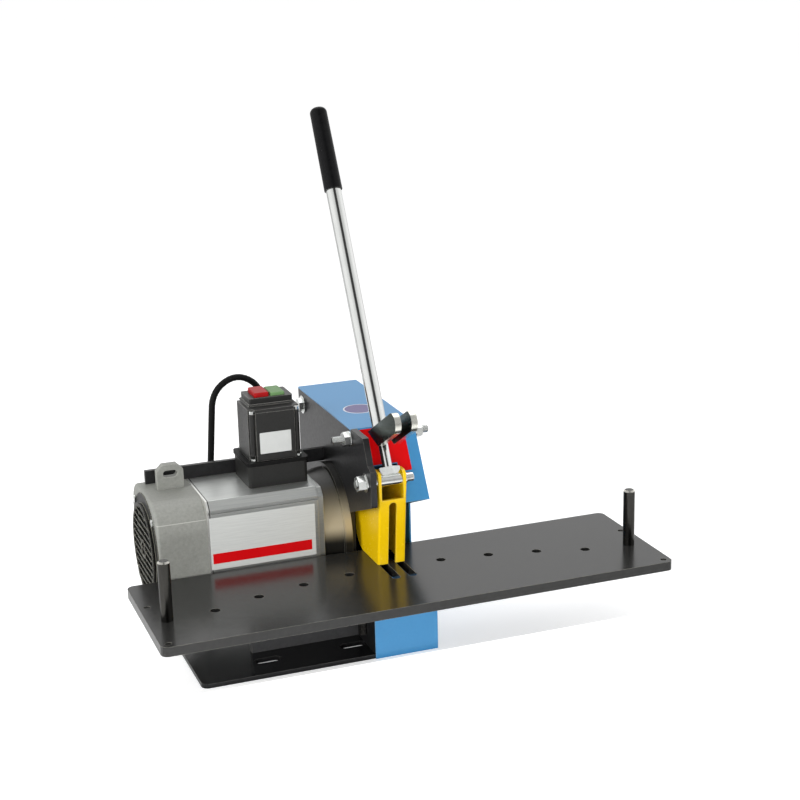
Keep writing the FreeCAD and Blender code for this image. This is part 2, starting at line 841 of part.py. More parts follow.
def lean(thing):
    """Set a lever piece, made upright round the pivot's centre, at the lever's resting lean."""
    turn(thing, Vector(-1, 0, 0), lever_lean)
    place(thing, 0, pivot_y, pivot_z)


# Lever hub: a cross tube on the pivot shaft with a socket for the neck
hub = new_body("lever_hub")
hub_half = guard_width / 2 - guard_sheet - clearance
revolve(hub, [
    (-hub_half, pivot_radius + running),
    (-hub_half, hub_radius),
    (hub_half, hub_radius),
    (hub_half, pivot_radius + running),
])
socket_low = pivot_radius + pivot_radius / 6
sketch = new_sketch(hub, PLAN, hub_radius)
circle(sketch, 0, 0, neck_radius)
pocket(hub, sketch, hub_radius - socket_low)
lean(hub)

# Lever rod: a bar turned down to a neck at its foot
rod_top = lever_length - grip_radius
rod_step = lever_radius - neck_radius
lever = new_body("lever_rod")
revolve(lever, [
    (0, socket_low),
    (neck_radius, socket_low),
    (neck_radius, neck_top),
    (lever_radius, neck_top + rod_step),
    (lever_radius, rod_top),
    (0, rod_top),
], FRONT, "V_Axis")
lean(lever)

# Lever nut: saddles the hub's tube and holds the neck; its flats face the guard's cheeks
lever_nut_foot = hub_radius * 0.6
lever_nut_high = hub_radius * 1.16
lever_nut_blank = nut("lever_nut_blank", hub_radius * 3.2, lever_nut_high, neck_radius, True)
saddle = lie_along_x(rod("lever_nut_saddle", hub_radius, hub_half * 2), -hub_half, 0, 0)
lever_nut = cut("lever_nut", upright(lever_nut_blank, lever_nut_foot), saddle)
lever_nut.Label = "lever_nut"
lean(lever_nut)

# Lever grip: a tapered sleeve with a domed end
grip = new_body("lever_grip")
grip_foot = lever_length - grip_length
grip_taper = grip_radius / 16
revolve(grip, [
    (lever_radius, grip_foot),
    (grip_radius, grip_foot),
    (grip_radius - grip_taper, lever_length),
    (0, lever_length),
    (0, rod_top),
    (lever_radius, rod_top),
], FRONT, "V_Axis")
soften_rim(grip, ALONG_Z, lever_length, grip_radius * 0.6)
lean(grip)

# Fork: two round-ended plates fixed to both sides of the neck, which push the hose
for side_name, start in (("left", -neck_radius - fork_thick), ("right", neck_radius)):
    fork = new_body(f"fork_{side_name}")
    sketch = new_sketch(fork, SIDE, start)
    fork_high = fork_low + fork_width
    outline(sketch, [
        (fork_heel, fork_high),
        (-fork_reach, fork_high),
        (-fork_reach, fork_low),
        (-fork_heel_low, fork_low),
    ])
    pad(fork, sketch, fork_thick)
    soften(fork, ALONG_X, [(-fork_reach, fork_high), (-fork_reach, fork_low)],
           fork_width * 0.49)
    lean(fork)

# Blade guard: a channel of sheet on the pivot shaft, whose web has a slot for the knife
guard = new_body("blade_guard", 0, pivot_y, pivot_z)
guard_low = clearance - pivot_height
bar_z = guard_crossbar - pivot_height
web_foot = pivot_radius / 6
web_head = web_foot - guard_lean
sketch = new_sketch(guard, SIDE, -guard_width / 2)
outline(sketch, [
    (web_foot, guard_low),
    (web_head, bar_z),
    (-ear_front, 0),
    (-ear_front, ear_top),
    (ear_front, ear_top),
    (guard_reach, guard_rise - pivot_height),
    (guard_reach, guard_low),
])
pad(guard, sketch, guard_width)
soften(guard, ALONG_X, [(-ear_front, ear_top), (ear_front, ear_top)], ear_front * 0.8)
soften(guard, ALONG_X, [(guard_reach, guard_low)], guard_reach / 3)
guard_half = guard_width / 2
soften_bend(guard, [((x, web_foot, guard_low), (x, web_head, bar_z))
                    for x in (-guard_half, guard_half)], guard_sheet * 0.8)
inner_half = guard_half - guard_sheet
sketch = new_sketch(guard, SIDE, inner_half)
outline(sketch, [
    (web_foot + guard_sheet, guard_low - guard_sheet),
    (web_head + guard_sheet, bar_z),
    (-ear_front - guard_sheet, bar_z),
    (-ear_front - guard_sheet, ear_top + guard_sheet),
    (guard_reach + guard_sheet, ear_top + guard_sheet),
    (guard_reach + guard_sheet, guard_low - guard_sheet),
])
pocket(guard, sketch, inner_half * 2)
sketch = new_sketch(guard, FRONT)
slot(sketch, (0, guard_low - guard_slot), (0, bar_z - guard_bar_thick - guard_slot / 2),
     guard_slot / 2)
pocket(guard, sketch)
sketch = new_sketch(guard, SIDE)
circle(sketch, 0, 0, pivot_radius + running)
pocket(guard, sketch)

# Motor shaft: stepped, with the knife's thread at the right and the fan's seat at the left
motor_x1 = -motor_right
motor_x0 = motor_x1 - motor_length
fan_seat = shaft_radius * 0.68
rear_seat = shaft_radius * 0.8
core_seat = shaft_radius * 1.12
half_blade = blade_thick / 2
nut_half_across = thread_radius * 1.5
blade_nut_high = thread_radius * 1.6
thread_end = half_blade + clamp_thick + blade_nut_high + blade_thick
front_bearing_x = motor_x1 + end_ring_thick - clearance * 2 - bearing_front_width / 2
rear_bearing_x = motor_x0 - clearance
core_x0 = motor_x0 + (motor_length - rotor_length) / 2
core_x1 = core_x0 + rotor_length
fan_x = motor_x0 - cover_length / 2
fan_width = cover_length * 0.4
shaft = new_body("motor_shaft", 0, spindle_y, spindle_z)
shaft_edge = shaft_radius * 0.08
revolve(shaft, [
    (fan_x - fan_width / 2, 0),
    (fan_x - fan_width / 2, fan_seat),
    (rear_bearing_x - clearance, fan_seat),
    (rear_bearing_x - clearance, rear_seat),
    (rear_bearing_x + bearing_rear_width + clearance, rear_seat),
    (rear_bearing_x + bearing_rear_width + clearance, core_seat),
    (front_bearing_x - clearance, core_seat),
    (front_bearing_x - clearance, shaft_radius),
    (-half_blade, shaft_radius),
    (-half_blade, thread_radius),
    (thread_end - shaft_edge, thread_radius),
    (thread_end, thread_radius - shaft_edge),
    (thread_end, 0),
])

# Rotor: laminated core with the two end rings of its cage
rotor = new_body("rotor", 0, spindle_y, spindle_z)
cage = rotor_radius * 0.2
revolve(rotor, [
    (core_x0, core_seat),
    (core_x0, rotor_radius * 0.6),
    (core_x0 - cage, rotor_radius * 0.6),
    (core_x0 - cage, rotor_radius * 0.92),
    (core_x0, rotor_radius * 0.92),
    (core_x0, rotor_radius),
    (core_x1, rotor_radius),
    (core_x1, rotor_radius * 0.92),
    (core_x1 + cage, rotor_radius * 0.92),
    (core_x1 + cage, rotor_radius * 0.6),
    (core_x1, rotor_radius * 0.6),
    (core_x1, core_seat),
])

# Knife: a plain round blade, bevelled on both faces to a sharp rim
blade = new_body("blade", 0, spindle_y, spindle_z)
blade_edge = blade_thick / 10
bevel_start = blade_radius - blade_bevel
revolve(blade, [
    (-half_blade, thread_radius),
    (-half_blade, bevel_start),
    (-blade_edge, blade_radius),
    (blade_edge, blade_radius),
    (half_blade, bevel_start),
    (half_blade, thread_radius),
])

# Blade clamps: the inner one has a hub on the shaft, the outer one is dished
inner_clamp = new_body("blade_clamp_inner", 0, spindle_y, spindle_z)
clamp_lip = clamp_thick / 4
clamp_hub = shaft_radius * 1.4
revolve(inner_clamp, [
    (-half_blade - clamp_thick * 2, shaft_radius),
    (-half_blade - clamp_thick * 2, clamp_hub),
    (-half_blade - clamp_thick, clamp_hub),
    (-half_blade - clamp_lip, clamp_radius),
    (-half_blade, clamp_radius),
    (-half_blade, shaft_radius),
])
outer_clamp = new_body("blade_clamp_outer", 0, spindle_y, spindle_z)
revolve(outer_clamp, [
    (half_blade, thread_radius),
    (half_blade, clamp_radius),
    (half_blade + clamp_lip, clamp_radius),
    (half_blade + clamp_thick, clamp_hub),
    (half_blade + clamp_thick, thread_radius),
])
blade_nut = lie_along_x(nut("blade_nut", nut_half_across * 2, blade_nut_high, thread_radius),
                        half_blade + clamp_thick, spindle_y, spindle_z)
blade_nut.Label = "blade_nut"

# Fan: a hub with straight blades between two faces, on the rear end of the shaft
fan = new_body("cooling_fan", fan_x - fan_width / 2, spindle_y, spindle_z)
fan_hub = fan_radius * 0.35
sketch = new_sketch(fan, SIDE)
circle(sketch, 0, 0, fan_hub)
pad(fan, sketch, fan_width)
sketch = new_sketch(fan, SIDE)
circle(sketch, 0, 0, fan_seat)
pocket(fan, sketch)
sketch = new_sketch(fan, SIDE)
fan_blade_half = cover_wall / 2
rectangle(sketch, fan_hub - cover_wall, -fan_blade_half, fan_radius, fan_blade_half)
fan_blade = pad(fan, sketch, fan_width)
ring = fan.newObject("PartDesign::PolarPattern", "fan_blades")
ring.Originals = [fan_blade]
ring.Axis = ([item for item in fan.Origin.OriginFeatures if item.Role == "X_Axis"][0], [""])
ring.Angle = 360
ring.Occurrences = 8
fan.Tip = ring

# Bearings: shielded rings, a slip fit round the shaft and a seat in their housings
for label, start, width, outer, inner in (
        ("front_bearing", front_bearing_x, bearing_front_width, bearing_front_radius,
         shaft_radius),
        ("rear_bearing", rear_bearing_x, bearing_rear_width, bearing_rear_radius, rear_seat)):
    bearing = new_body(label, 0, spindle_y, spindle_z)
    race = (outer - inner) / 4
    dish = width / 12
    end = start + width
    revolve(bearing, [
        (start, inner + running),
        (start, inner + race),
        (start + dish, inner + race),
        (start + dish, outer - race),
        (start, outer - race),
        (start, outer),
        (end, outer),
        (end, outer - race),
        (end - dish, outer - race),
        (end - dish, inner + race),
        (end, inner + race),
        (end, inner + running),
    ])

# Front shield: a cup between the motor and the side plate that holds the front bearing
shield = new_body("front_shield", 0, spindle_y, spindle_z)
shield_x1 = plate_left
shield_x0 = motor_x1 + end_ring_thick
spigot = motor_bore / 5
cup_inner = shaft_window + motor_bore / 5
web_thick = end_ring_thick / 2
bearing_end = front_bearing_x + bearing_front_width
shield_waist = flange_radius * 0.88
revolve(shield, [
    (shield_x1, cup_inner),
    (shield_x1, flange_radius),
    (shield_x1 - flange_thick, flange_radius),
    (shield_x1 - flange_thick, shield_waist + web_thick),
    (shield_x0, shield_waist),
    (shield_x0, motor_bore),
    (motor_x1 - spigot / 2, motor_bore),
    (motor_x1 - spigot / 2, cup_inner),
    (shield_x0, cup_inner),
    (shield_x0, bearing_front_radius + web_thick),
    (front_bearing_x, bearing_front_radius + web_thick),
    (front_bearing_x, bearing_front_radius),
    (bearing_end, bearing_front_radius),
    (bearing_end, shaft_radius * 1.2),
    (bearing_end + web_thick, shaft_radius * 1.2),
    (bearing_end + web_thick, cup_inner),
])
screw_depth = flange_thick
sketch = new_sketch(shield, SIDE, shield_x1)
for quarter in range(4):
    angle = 45 + 90 * quarter
    circle(sketch, flange_screw_circle * cosine(angle), flange_screw_circle * sine(angle),
           flange_screw_radius)
pocket(shield, sketch, screw_depth)

# Flange screws: pass from the knife's side through the side plate into the shield
screws = []
for quarter in range(4):
    angle = 45 + 90 * quarter
    screw = rod("flange_screw", flange_screw_radius, plate_thick + screw_depth)
    screws.append(lie_along_x(screw, shield_x1 - screw_depth,
                              spindle_y + flange_screw_circle * cosine(angle),
                              spindle_z + flange_screw_circle * sine(angle)))
group("flange_screws", screws)


def bevelled_square(sketch, half, bevel):
    outline(sketch, [
        (-half, -half + bevel), (-half + bevel, -half),
        (half - bevel, -half), (half, -half + bevel),
        (half, half - bevel), (half - bevel, half),
        (-half + bevel, half), (-half, half - bevel),
    ])


# End ring: a square adapter between the motor housing and the round shield
square_half = motor_square / 2
end_ring = new_body("end_ring", motor_x1, spindle_y, spindle_z)
sketch = new_sketch(end_ring, SIDE)
bevelled_square(sketch, square_half - cover_wall, motor_bevel)
pad(end_ring, sketch, end_ring_thick)
sketch = new_sketch(end_ring, SIDE)
circle(sketch, 0, 0, motor_bore)
pocket(end_ring, sketch)

# Motor housing: a square extrusion with bevelled corners and grooves beside them
housing = new_body("motor_housing", motor_x0, spindle_y, spindle_z)
sketch = new_sketch(housing, SIDE)
bevelled_square(sketch, square_half, motor_bevel)
pad(housing, sketch, motor_length)
sketch = new_sketch(housing, SIDE)
circle(sketch, 0, 0, motor_bore)
pocket(housing, sketch)
groove_deep = cover_wall
groove_wide = cover_wall
groove_at = square_half - motor_bevel * 1.4
sketch = new_sketch(housing, SIDE)
for sign in (-1, 1):
    low = sign * groove_at - groove_wide / 2
    high = low + groove_wide
    rectangle(sketch, square_half - groove_deep, low, square_half + groove_deep, high)
    rectangle(sketch, -square_half - groove_deep, low, -square_half + groove_deep, high)
pocket(housing, sketch)

# Stator core and its windings
stator = new_body("stator_core", 0, spindle_y, spindle_z)
stator_inner = rotor_radius + air_gap
revolve(stator, [
    (core_x0, stator_inner),
    (core_x0, motor_bore),
    (core_x1, motor_bore),
    (core_x1, stator_inner),
])
coil_reach = spigot * 0.8
coil_low = stator_inner + air_gap * 8
coil_high = motor_bore - spigot * 0.6
coil_edge = coil_reach / 3
windings = []
for label, start, reach in (("left", core_x0, -coil_reach), ("right", core_x1, coil_reach)):
    winding = new_body(f"{label}_winding", 0, spindle_y, spindle_z)
    bend = -coil_edge if label == "left" else coil_edge
    windings.append(winding)
    revolve(winding, [
        (start, coil_low),
        (start + reach - bend, coil_low),
        (start + reach, coil_low + coil_edge),
        (start + reach, coil_high - coil_edge),
        (start + reach - bend, coil_high),
        (start, coil_high),
    ])
group("stator_windings", windings)

# Rear shield: closes the housing behind the fan and holds the rear bearing
rear_shield = new_body("rear_shield", 0, spindle_y, spindle_z)
rear_spigot_x = motor_x0 + bearing_rear_width - clearance
revolve(rear_shield, [
    (motor_x0 - web_thick, fan_seat + web_thick),
    (motor_x0 - web_thick, motor_bore + web_thick),
    (motor_x0, motor_bore + web_thick),
    (motor_x0, motor_bore),
    (rear_spigot_x, motor_bore),
    (rear_spigot_x, motor_bore - web_thick),
    (motor_x0 + web_thick, motor_bore - web_thick),
    (motor_x0 + web_thick, bearing_rear_radius + web_thick),
    (rear_spigot_x, bearing_rear_radius + web_thick),
    (rear_spigot_x, bearing_rear_radius),
    (rear_bearing_x, bearing_rear_radius),
    (rear_bearing_x, fan_seat + web_thick),
])

# Fan cover: a square bowl with wide round corners, open at the grille
cover_x0 = motor_x0 - cover_length
fan_cover = new_body("fan_cover", cover_x0, spindle_y, spindle_z)
sketch = new_sketch(fan_cover, SIDE)
rounded_square(sketch, square_half, cover_round)
pad(fan_cover, sketch, cover_length)
sketch = new_sketch(fan_cover, SIDE, cover_length)
rounded_square(sketch, square_half - cover_wall, cover_round - cover_wall)
pocket(fan_cover, sketch, cover_length - cover_wall)
soften_rim(fan_cover, ALONG_X, 0, cover_wall)
grille_hole = grille_radius - cover_wall
sketch = new_sketch(fan_cover, SIDE)
circle(sketch, 0, 0, grille_hole)
pocket(fan_cover, sketch, cover_wall * 2, True)

# Fan grille: a proud ring that holds two layers of crossed bars
bar_layer = cover_wall / 2
bar_pitch = grille_bar * 3
bar_layers = []
for layer, tilt in ((0, 45), (1, -45)):
    bars = []
    for i in range(-5, 6):
        bar = doc.addObject("Part::Box", "grille_bar")
        set_length(bar, "Length", bar_layer)
        set_length(bar, "Width", grille_radius * 2)
        set_length(bar, "Height", grille_bar)
        shift = i * bar_pitch - grille_bar / 2
        bar.Placement.Rotation = Rotation(Vector(1, 0, 0), tilt)
        place(bar, cover_x0 - cover_wall + layer * bar_layer,
              spindle_y - grille_radius * cosine(tilt) - shift * sine(tilt),
              spindle_z - grille_radius * sine(tilt) + shift * cosine(tilt))
        bars.append(bar)
    bar_layers.append(fuse(f"grille_layer_{layer}", bars))
trim = lie_along_x(rod("grille_trim", grille_radius - cover_wall / 2, cover_wall),
                   cover_x0 - cover_wall, spindle_y, spindle_z)
mesh = doc.addObject("Part::Common", "grille_mesh")
mesh.Base = fuse("grille_bars", bar_layers)
mesh.Tool = trim
grille_ring = lie_along_x(washer("grille_ring", grille_radius + cover_wall, cover_wall,
                                 grille_radius - cover_wall / 2),
                          cover_x0 - cover_wall, spindle_y, spindle_z)
fuse("fan_grille", [mesh, grille_ring])

# Cover screws: pan heads in the four round corners of the fan cover
screw_at = square_half - cover_round * 0.6
head_radius = cover_round / 8
heads = [lie_along_x(rod("fan_cover_screw", head_radius, cover_wall), cover_x0 - cover_wall,
                     spindle_y + y_sign * screw_at, spindle_z + z_sign * screw_at)
         for y_sign in (-1, 1) for z_sign in (-1, 1)]
group("fan_cover_screws", heads)

# Lifting lug: an ear with bevelled shoulders and an oval eye, on top of the fan cover
motor_top = spindle_z + square_half
lug = new_body("lifting_lug", -lug_left, spindle_y + bar_thick + lug_thick / 2, motor_top)
sketch = new_sketch(lug, FRONT)
shoulder = lug_height / 4
outline(sketch, [
    (0, 0),
    (lug_width, 0),
    (lug_width, lug_height - shoulder),
    (lug_width - shoulder, lug_height),
    (shoulder, lug_height),
    (0, lug_height - shoulder),
])
pad(lug, sketch, lug_thick)
eye_radius = lug_height * 0.14
sketch = new_sketch(lug, FRONT)
slot(sketch, (lug_width / 2 - eye_radius, lug_height * 0.62),
     (lug_width / 2 + eye_radius, lug_height * 0.62), eye_radius)
pocket(lug, sketch)

# Rear bar: a flat on edge along the back of the motor's top, fixed to the side plate
bar = new_body("rear_bar", -bar_left, spindle_y + bar_behind, motor_top)
sketch = new_sketch(bar, FRONT)
rectangle(sketch, 0, 0, bar_left + plate_left, bar_height)
pad(bar, sketch, bar_thick)

# Terminal box: a shell on the motor's top that holds the terminals
box_y0 = spindle_y - box_before
box_y1 = box_y0 + box_depth
box_x0 = -box_left
box_x1 = -box_right
box_top = motor_top + box_height
terminal_box = new_body("terminal_box")
sketch = new_sketch(terminal_box, PLAN, motor_top)
rectangle(sketch, box_x0, box_y0, box_x1, box_y1)
pad(terminal_box, sketch, box_height)
box_corners = [(x, y) for x in (box_x0, box_x1) for y in (box_y0, box_y1)]
soften(terminal_box, ALONG_Z, box_corners, box_wall * 2)
sketch = new_sketch(terminal_box, PLAN, box_top)
rectangle(sketch, box_x0 + box_wall, box_y0 + box_wall, box_x1 - box_wall, box_y1 - box_wall)
pocket(terminal_box, sketch, box_height - box_wall)

# Terminal block: stands on the floor of the terminal box
terminal_high = box_height / 2
terminal_block = doc.addObject("Part::Box", "terminal_block")
terminal_block.Label = "terminal_block"
set_length(terminal_block, "Length", (box_x1 - box_x0) / 2)
set_length(terminal_block, "Width", box_depth / 3)
set_length(terminal_block, "Height", terminal_high)
place(terminal_block, box_x0 + (box_x1 - box_x0) / 4, box_y0 + box_depth / 3,
      motor_top + box_wall)

# Box joint: a rubber frame between the terminal box and the switch cover, slightly proud
joint_lip = box_wall / 2
box_gasket = new_body("box_gasket")
sketch = new_sketch(box_gasket, PLAN, box_top)
rectangle(sketch, box_x0 - joint_lip, box_y0 - joint_lip, box_x1 + joint_lip, box_y1 + joint_lip)
pad(box_gasket, sketch, box_joint)
gasket_corners = [(x, y) for x in (box_x0 - joint_lip, box_x1 + joint_lip)
                  for y in (box_y0 - joint_lip, box_y1 + joint_lip)]
soften(box_gasket, ALONG_Z, gasket_corners, box_wall * 2)
sketch = new_sketch(box_gasket, PLAN, box_top)
window_x0 = -cover_left + box_wall * 2
window_x1 = -cover_right - box_wall * 2
window_y0 = box_y0 + cover_inset + box_wall * 2
window_y1 = box_y1 - cover_inset - box_wall * 2
rectangle(sketch, window_x0, window_y0, window_x1, window_y1)
pocket(box_gasket, sketch)

# Switch cover: a tall shell with a screw channel at each corner and a window in its top
cover_z0 = box_top + box_joint
cover_z1 = cover_z0 + cover_height
cover_y0 = box_y0 + cover_inset
cover_y1 = box_y1 - cover_inset
block_y0 = spindle_y - block_before
block_y1 = cover_y1 - box_wall


def notched(sketch, inset):
    """The cover's outline, or the same one set in by a wall, with a notch at each corner."""
    x0 = inset - cover_left
    x1 = -inset - cover_right
    y0 = cover_y0 + inset
    y1 = cover_y1 - inset
    outline(sketch, [
        (x0, y0 + cover_channel), (x0 + cover_channel, y0 + cover_channel),
        (x0 + cover_channel, y0), (x1 - cover_channel, y0),
        (x1 - cover_channel, y0 + cover_channel), (x1, y0 + cover_channel),
        (x1, y1 - cover_channel), (x1 - cover_channel, y1 - cover_channel),
        (x1 - cover_channel, y1), (x0 + cover_channel, y1),
        (x0 + cover_channel, y1 - cover_channel), (x0, y1 - cover_channel),
    ])


switch_cover = new_body("switch_cover")
sketch = new_sketch(switch_cover, PLAN, cover_z0)
notched(sketch, 0)
pad(switch_cover, sketch, cover_height)
soften(switch_cover, ALONG_X, [(cover_y0, cover_z1)], box_wall * 1.4, "Chamfer")
sketch = new_sketch(switch_cover, PLAN, cover_z0)
notched(sketch, box_wall)
pocket(switch_cover, sketch, cover_height - box_wall, True)
half_channel = cover_channel / 2
column_radius = cover_channel * 0.45
column_in = cover_channel - column_radius * 0.97
lid_screw_foot = cover_channel * 0.6
sketch = new_sketch(switch_cover, PLAN, cover_z0 + cover_channel)
for x in (-cover_left + column_in, -cover_right - column_in):
    for y in (cover_y0 + column_in, cover_y1 - column_in):
        circle(sketch, x, y, column_radius)
pad(switch_cover, sketch, cover_height - cover_channel - lid_screw_foot)
sketch = new_sketch(switch_cover, PLAN, cover_z1)
button_y0 = (block_y0 + block_y1 - button_depth) / 2
button_y1 = button_y0 + button_depth
block_middle = -(block_left + block_right) / 2
bezel = box_wall / 2
rectangle(sketch, block_middle - button_width - bezel, button_y0 - bezel,
          block_middle + button_width + bezel, button_y1 + bezel)
pocket(switch_cover, sketch, box_wall)

# Cover screws: pan heads at the foot of the four channels and on top of the front columns
screws = []
for x in (-cover_left + column_in, -cover_right - column_in):
    screw = rod("lid_screw", column_radius * 0.9, half_channel)
    place(screw, x, cover_y0 + column_in, cover_z1 - lid_screw_foot)
    screws.append(screw)
for x in (-cover_left + half_channel, -cover_right - half_channel):
    for y in (cover_y0 + half_channel, cover_y1 - half_channel):
        screw = rod("box_screw", half_channel - running, half_channel)
        place(screw, x, y, cover_z0)
        screws.append(screw)
group("box_screws", screws)

# Switch block: a raised frame on a flared foot, with a window for each button
block = new_body("switch_block")
block_foot = block_height / 5
flare = block_foot * 1.2
sketch = new_sketch(block, PLAN, cover_z1)
rectangle(sketch, -block_left - flare, block_y0 - flare, flare - block_right, block_y1 + flare)
pad(block, sketch, block_foot)
soften_rim(block, ALONG_Z, cover_z1 + block_foot, block_foot * 0.9, kind="Chamfer")
sketch = new_sketch(block, PLAN, cover_z1)
rectangle(sketch, -block_left, block_y0, -block_right, block_y1)
pad(block, sketch, block_height)
block_corners = [(x, y) for x in (-block_left, -block_right) for y in (block_y0, block_y1)]
soften(block, ALONG_Z, block_corners, box_wall)
divider = box_wall / 4
sketch = new_sketch(block, PLAN, cover_z1)
button_places = (("red_button", block_middle - divider - button_width, 1.4),
                 ("green_button", block_middle + divider, 1))
for label, button_x, proud in button_places:
    rectangle(sketch, button_x - clearance, button_y0 - clearance,
              button_x + button_width - clearance, button_y1 + clearance)
pocket(block, sketch)

# Buttons: rounded caps that sink into the switch block; the red one stands higher
button_foot = cover_z1 + block_foot
button_rise = block_height * 0.4
for label, button_x, proud in button_places:
    button = new_body(label)
    button_x1 = button_x + button_width - clearance * 2
    sketch = new_sketch(button, PLAN, button_foot)
    rectangle(sketch, button_x, button_y0, button_x1, button_y1)
    button_high = cover_z1 + block_height + button_rise * proud - button_foot
    pad(button, sketch, button_high)
    caps = [(x, y) for x in (button_x, button_x1) for y in (button_y0, button_y1)]
    soften(button, ALONG_Z, caps, box_wall)
    soften_rim(button, ALONG_Z, button_foot + button_high, box_wall * 0.6)

# Contact block: the switch works under the buttons, hung on the cover's rear wall
contact_top = button_foot - button_travel - clearance
contact_high = cover_height / 2
contact_block = doc.addObject("Part::Box", "contact_block")
contact_block.Label = "contact_block"
set_length(contact_block, "Length", button_width * 2)
set_length(contact_block, "Width", cover_y1 - box_wall - button_y0)
set_length(contact_block, "Height", contact_high)
place(contact_block, block_middle - button_width, button_y0,
      contact_top - block_foot - contact_high)

# Cable gland: a hexagon and a round cap on the switch cover's rear face
gland_across = cable_radius * 4.1
gland_x = -cover_right - cover_channel - gland_across / 2
gland_z = cover_z0 + cable_radius * 2.6
gland_hex_long = cable_radius * 1.5
gland_long = cable_radius * 4


def lie_along_y(thing, x, y, z):
    """Lay a piece that was made along Z so that it starts at Y and runs to the back."""
    thing.Placement.Rotation = Rotation(Vector(1, 0, 0), -90)
    place(thing, x, y, z)
    return thing


gland_hex = lie_along_y(nut("gland_hex", gland_across, gland_hex_long, cable_radius, True),
                        gland_x, cover_y1, gland_z)
gland_cap = lie_along_y(washer("gland_cap", cable_radius * 1.8, gland_long, cable_radius),
                        gland_x, cover_y1, gland_z)
fuse("cable_gland", [gland_hex, gland_cap])

# Cable: leaves the gland, loops over behind the box, passes behind the motor to its coil
gland_y = cover_y1 + gland_long
bench_rest = number(cable_radius)
coil_middle = number(cable_radius) * 11
coil_width = number(cable_radius) * 4
coil_x = -145
coil_y = 325
coil_side = coil_middle + coil_width / 2 + bench_rest + number(clearance) / 3
cable_stops = [
    (number(gland_x), number(gland_y), number(gland_z)),
    (number(gland_x), 142, number(gland_z)),
    (-99, 161, 277),
    (-99, 163, 311),
    (-133, 158, 331),
    (-167, 154, 311),
    (-171, 152, 268),
    (-174, 156, 214),
    (-176, 166, 162),
    (-179, 175, 112),
    (-183, 187, 64),
    (-191, 213, 26),
    (-201, 253, 8),
    (-206, 292, bench_rest),
    (coil_x - coil_side, coil_y, bench_rest),
]
plug_angle = -8
plug_start = Vector(-10, 374, 19.5)
plug_lead = 30
tail_stops = [
    (coil_x, coil_y + coil_side, bench_rest),
    (-105, coil_y + coil_side, bench_rest),
    (-70, 384, 12),
    (plug_start.x - plug_lead * math.cos(math.radians(plug_angle)),
     plug_start.y - plug_lead * math.sin(math.radians(plug_angle)), plug_start.z),
    tuple(plug_start),
]


def rounded_route(stops, radius):
    """A tube along straight runs joined by tangent arcs; also its length and bend radii."""
    points = [Vector(*stop) for stop in stops]
    radii = []
    edges = []
    last = points[0]
    for before, corner, after in zip(points, points[1:], points[2:]):
        into = (corner - before).normalize()
        out = (after - corner).normalize()
        half_turn = into.getAngle(out) / 2
        shorter = min((corner - before).Length, (after - corner).Length)
        reach = 0.45 * shorter
        radii.append(reach / math.tan(half_turn))
        start = corner - into * reach
        end = corner + out * reach
        toward = (out - into).normalize()
        centre = corner + toward * (radii[-1] / math.cos(half_turn))
        middle = centre - toward * radii[-1]
        edges.append(Part.LineSegment(last, start).toShape())
        edges.append(Part.Arc(start, middle, end).toShape())
        last = end
    edges.append(Part.LineSegment(last, points[-1]).toShape())
    path = Part.Wire(edges)
    ring_at_start = Part.Wire([Part.makeCircle(radius, points[0], points[1] - points[0])])
    tube = path.makePipeShell([ring_at_start], True, True)
    return tube, path.Length, radii


tubes = []
section = math.pi * number(cable_radius) ** 2
for name, stops in (("cable", cable_stops), ("tail", tail_stops)):
    tube, route_length, radii = rounded_route(stops, number(cable_radius))
    print(name, "length", round(route_length), "radii", [round(radius) for radius in radii])
    print(name, "volume over section times length", tube.Volume / (section * route_length))
    tubes.append(tube)
cable = doc.addObject("Part::Feature", "power_cable")
cable.Label = "power_cable"
cable.Shape = Part.Compound(tubes)

# Cable coil: the outer shape of four turns in two layers, flat on the bench
coil = new_body("cable_coil", coil_x, coil_y, 0)
coil_edge = coil_width / 4
coil_in = coil_middle - coil_width / 2
coil_out = coil_middle + coil_width / 2
revolve(coil, [
    (coil_in + coil_edge, 0), (coil_out - coil_edge, 0),
    (coil_out, coil_edge), (coil_out, coil_width - coil_edge),
    (coil_out - coil_edge, coil_width), (coil_in + coil_edge, coil_width),
    (coil_in, coil_width - coil_edge), (coil_in, coil_edge),
], FRONT, "V_Axis")

# Mains plug: a round body with a tapered sleeve and two pins, lying on the bench
plug_turned = new_body("plug_turned")
revolve(plug_turned, [
    (0, 0),
    (0, cable_radius * 1.4),
    (plug_sleeve, cable_radius * 1.8),
    (plug_sleeve * 1.13, plug_radius * 0.68),
    (plug_sleeve * 1.33, plug_radius * 0.9),
    (plug_sleeve * 1.47, plug_radius),
    (plug_length - plug_radius * 0.1, plug_radius),
    (plug_length, plug_radius * 0.9),
    (plug_length, 0),
])
pins = []
for side_sign in (-1, 1):
    pin = rod("plug_pin", plug_pin_radius, plug_pin_length)
    pins.append(lie_along_x(pin, plug_length, side_sign * plug_radius / 2, 0))
plug = fuse("mains_plug", [plug_turned] + pins)
plug.Placement = Placement(plug_start, Rotation(Vector(0, 0, 1), plug_angle))

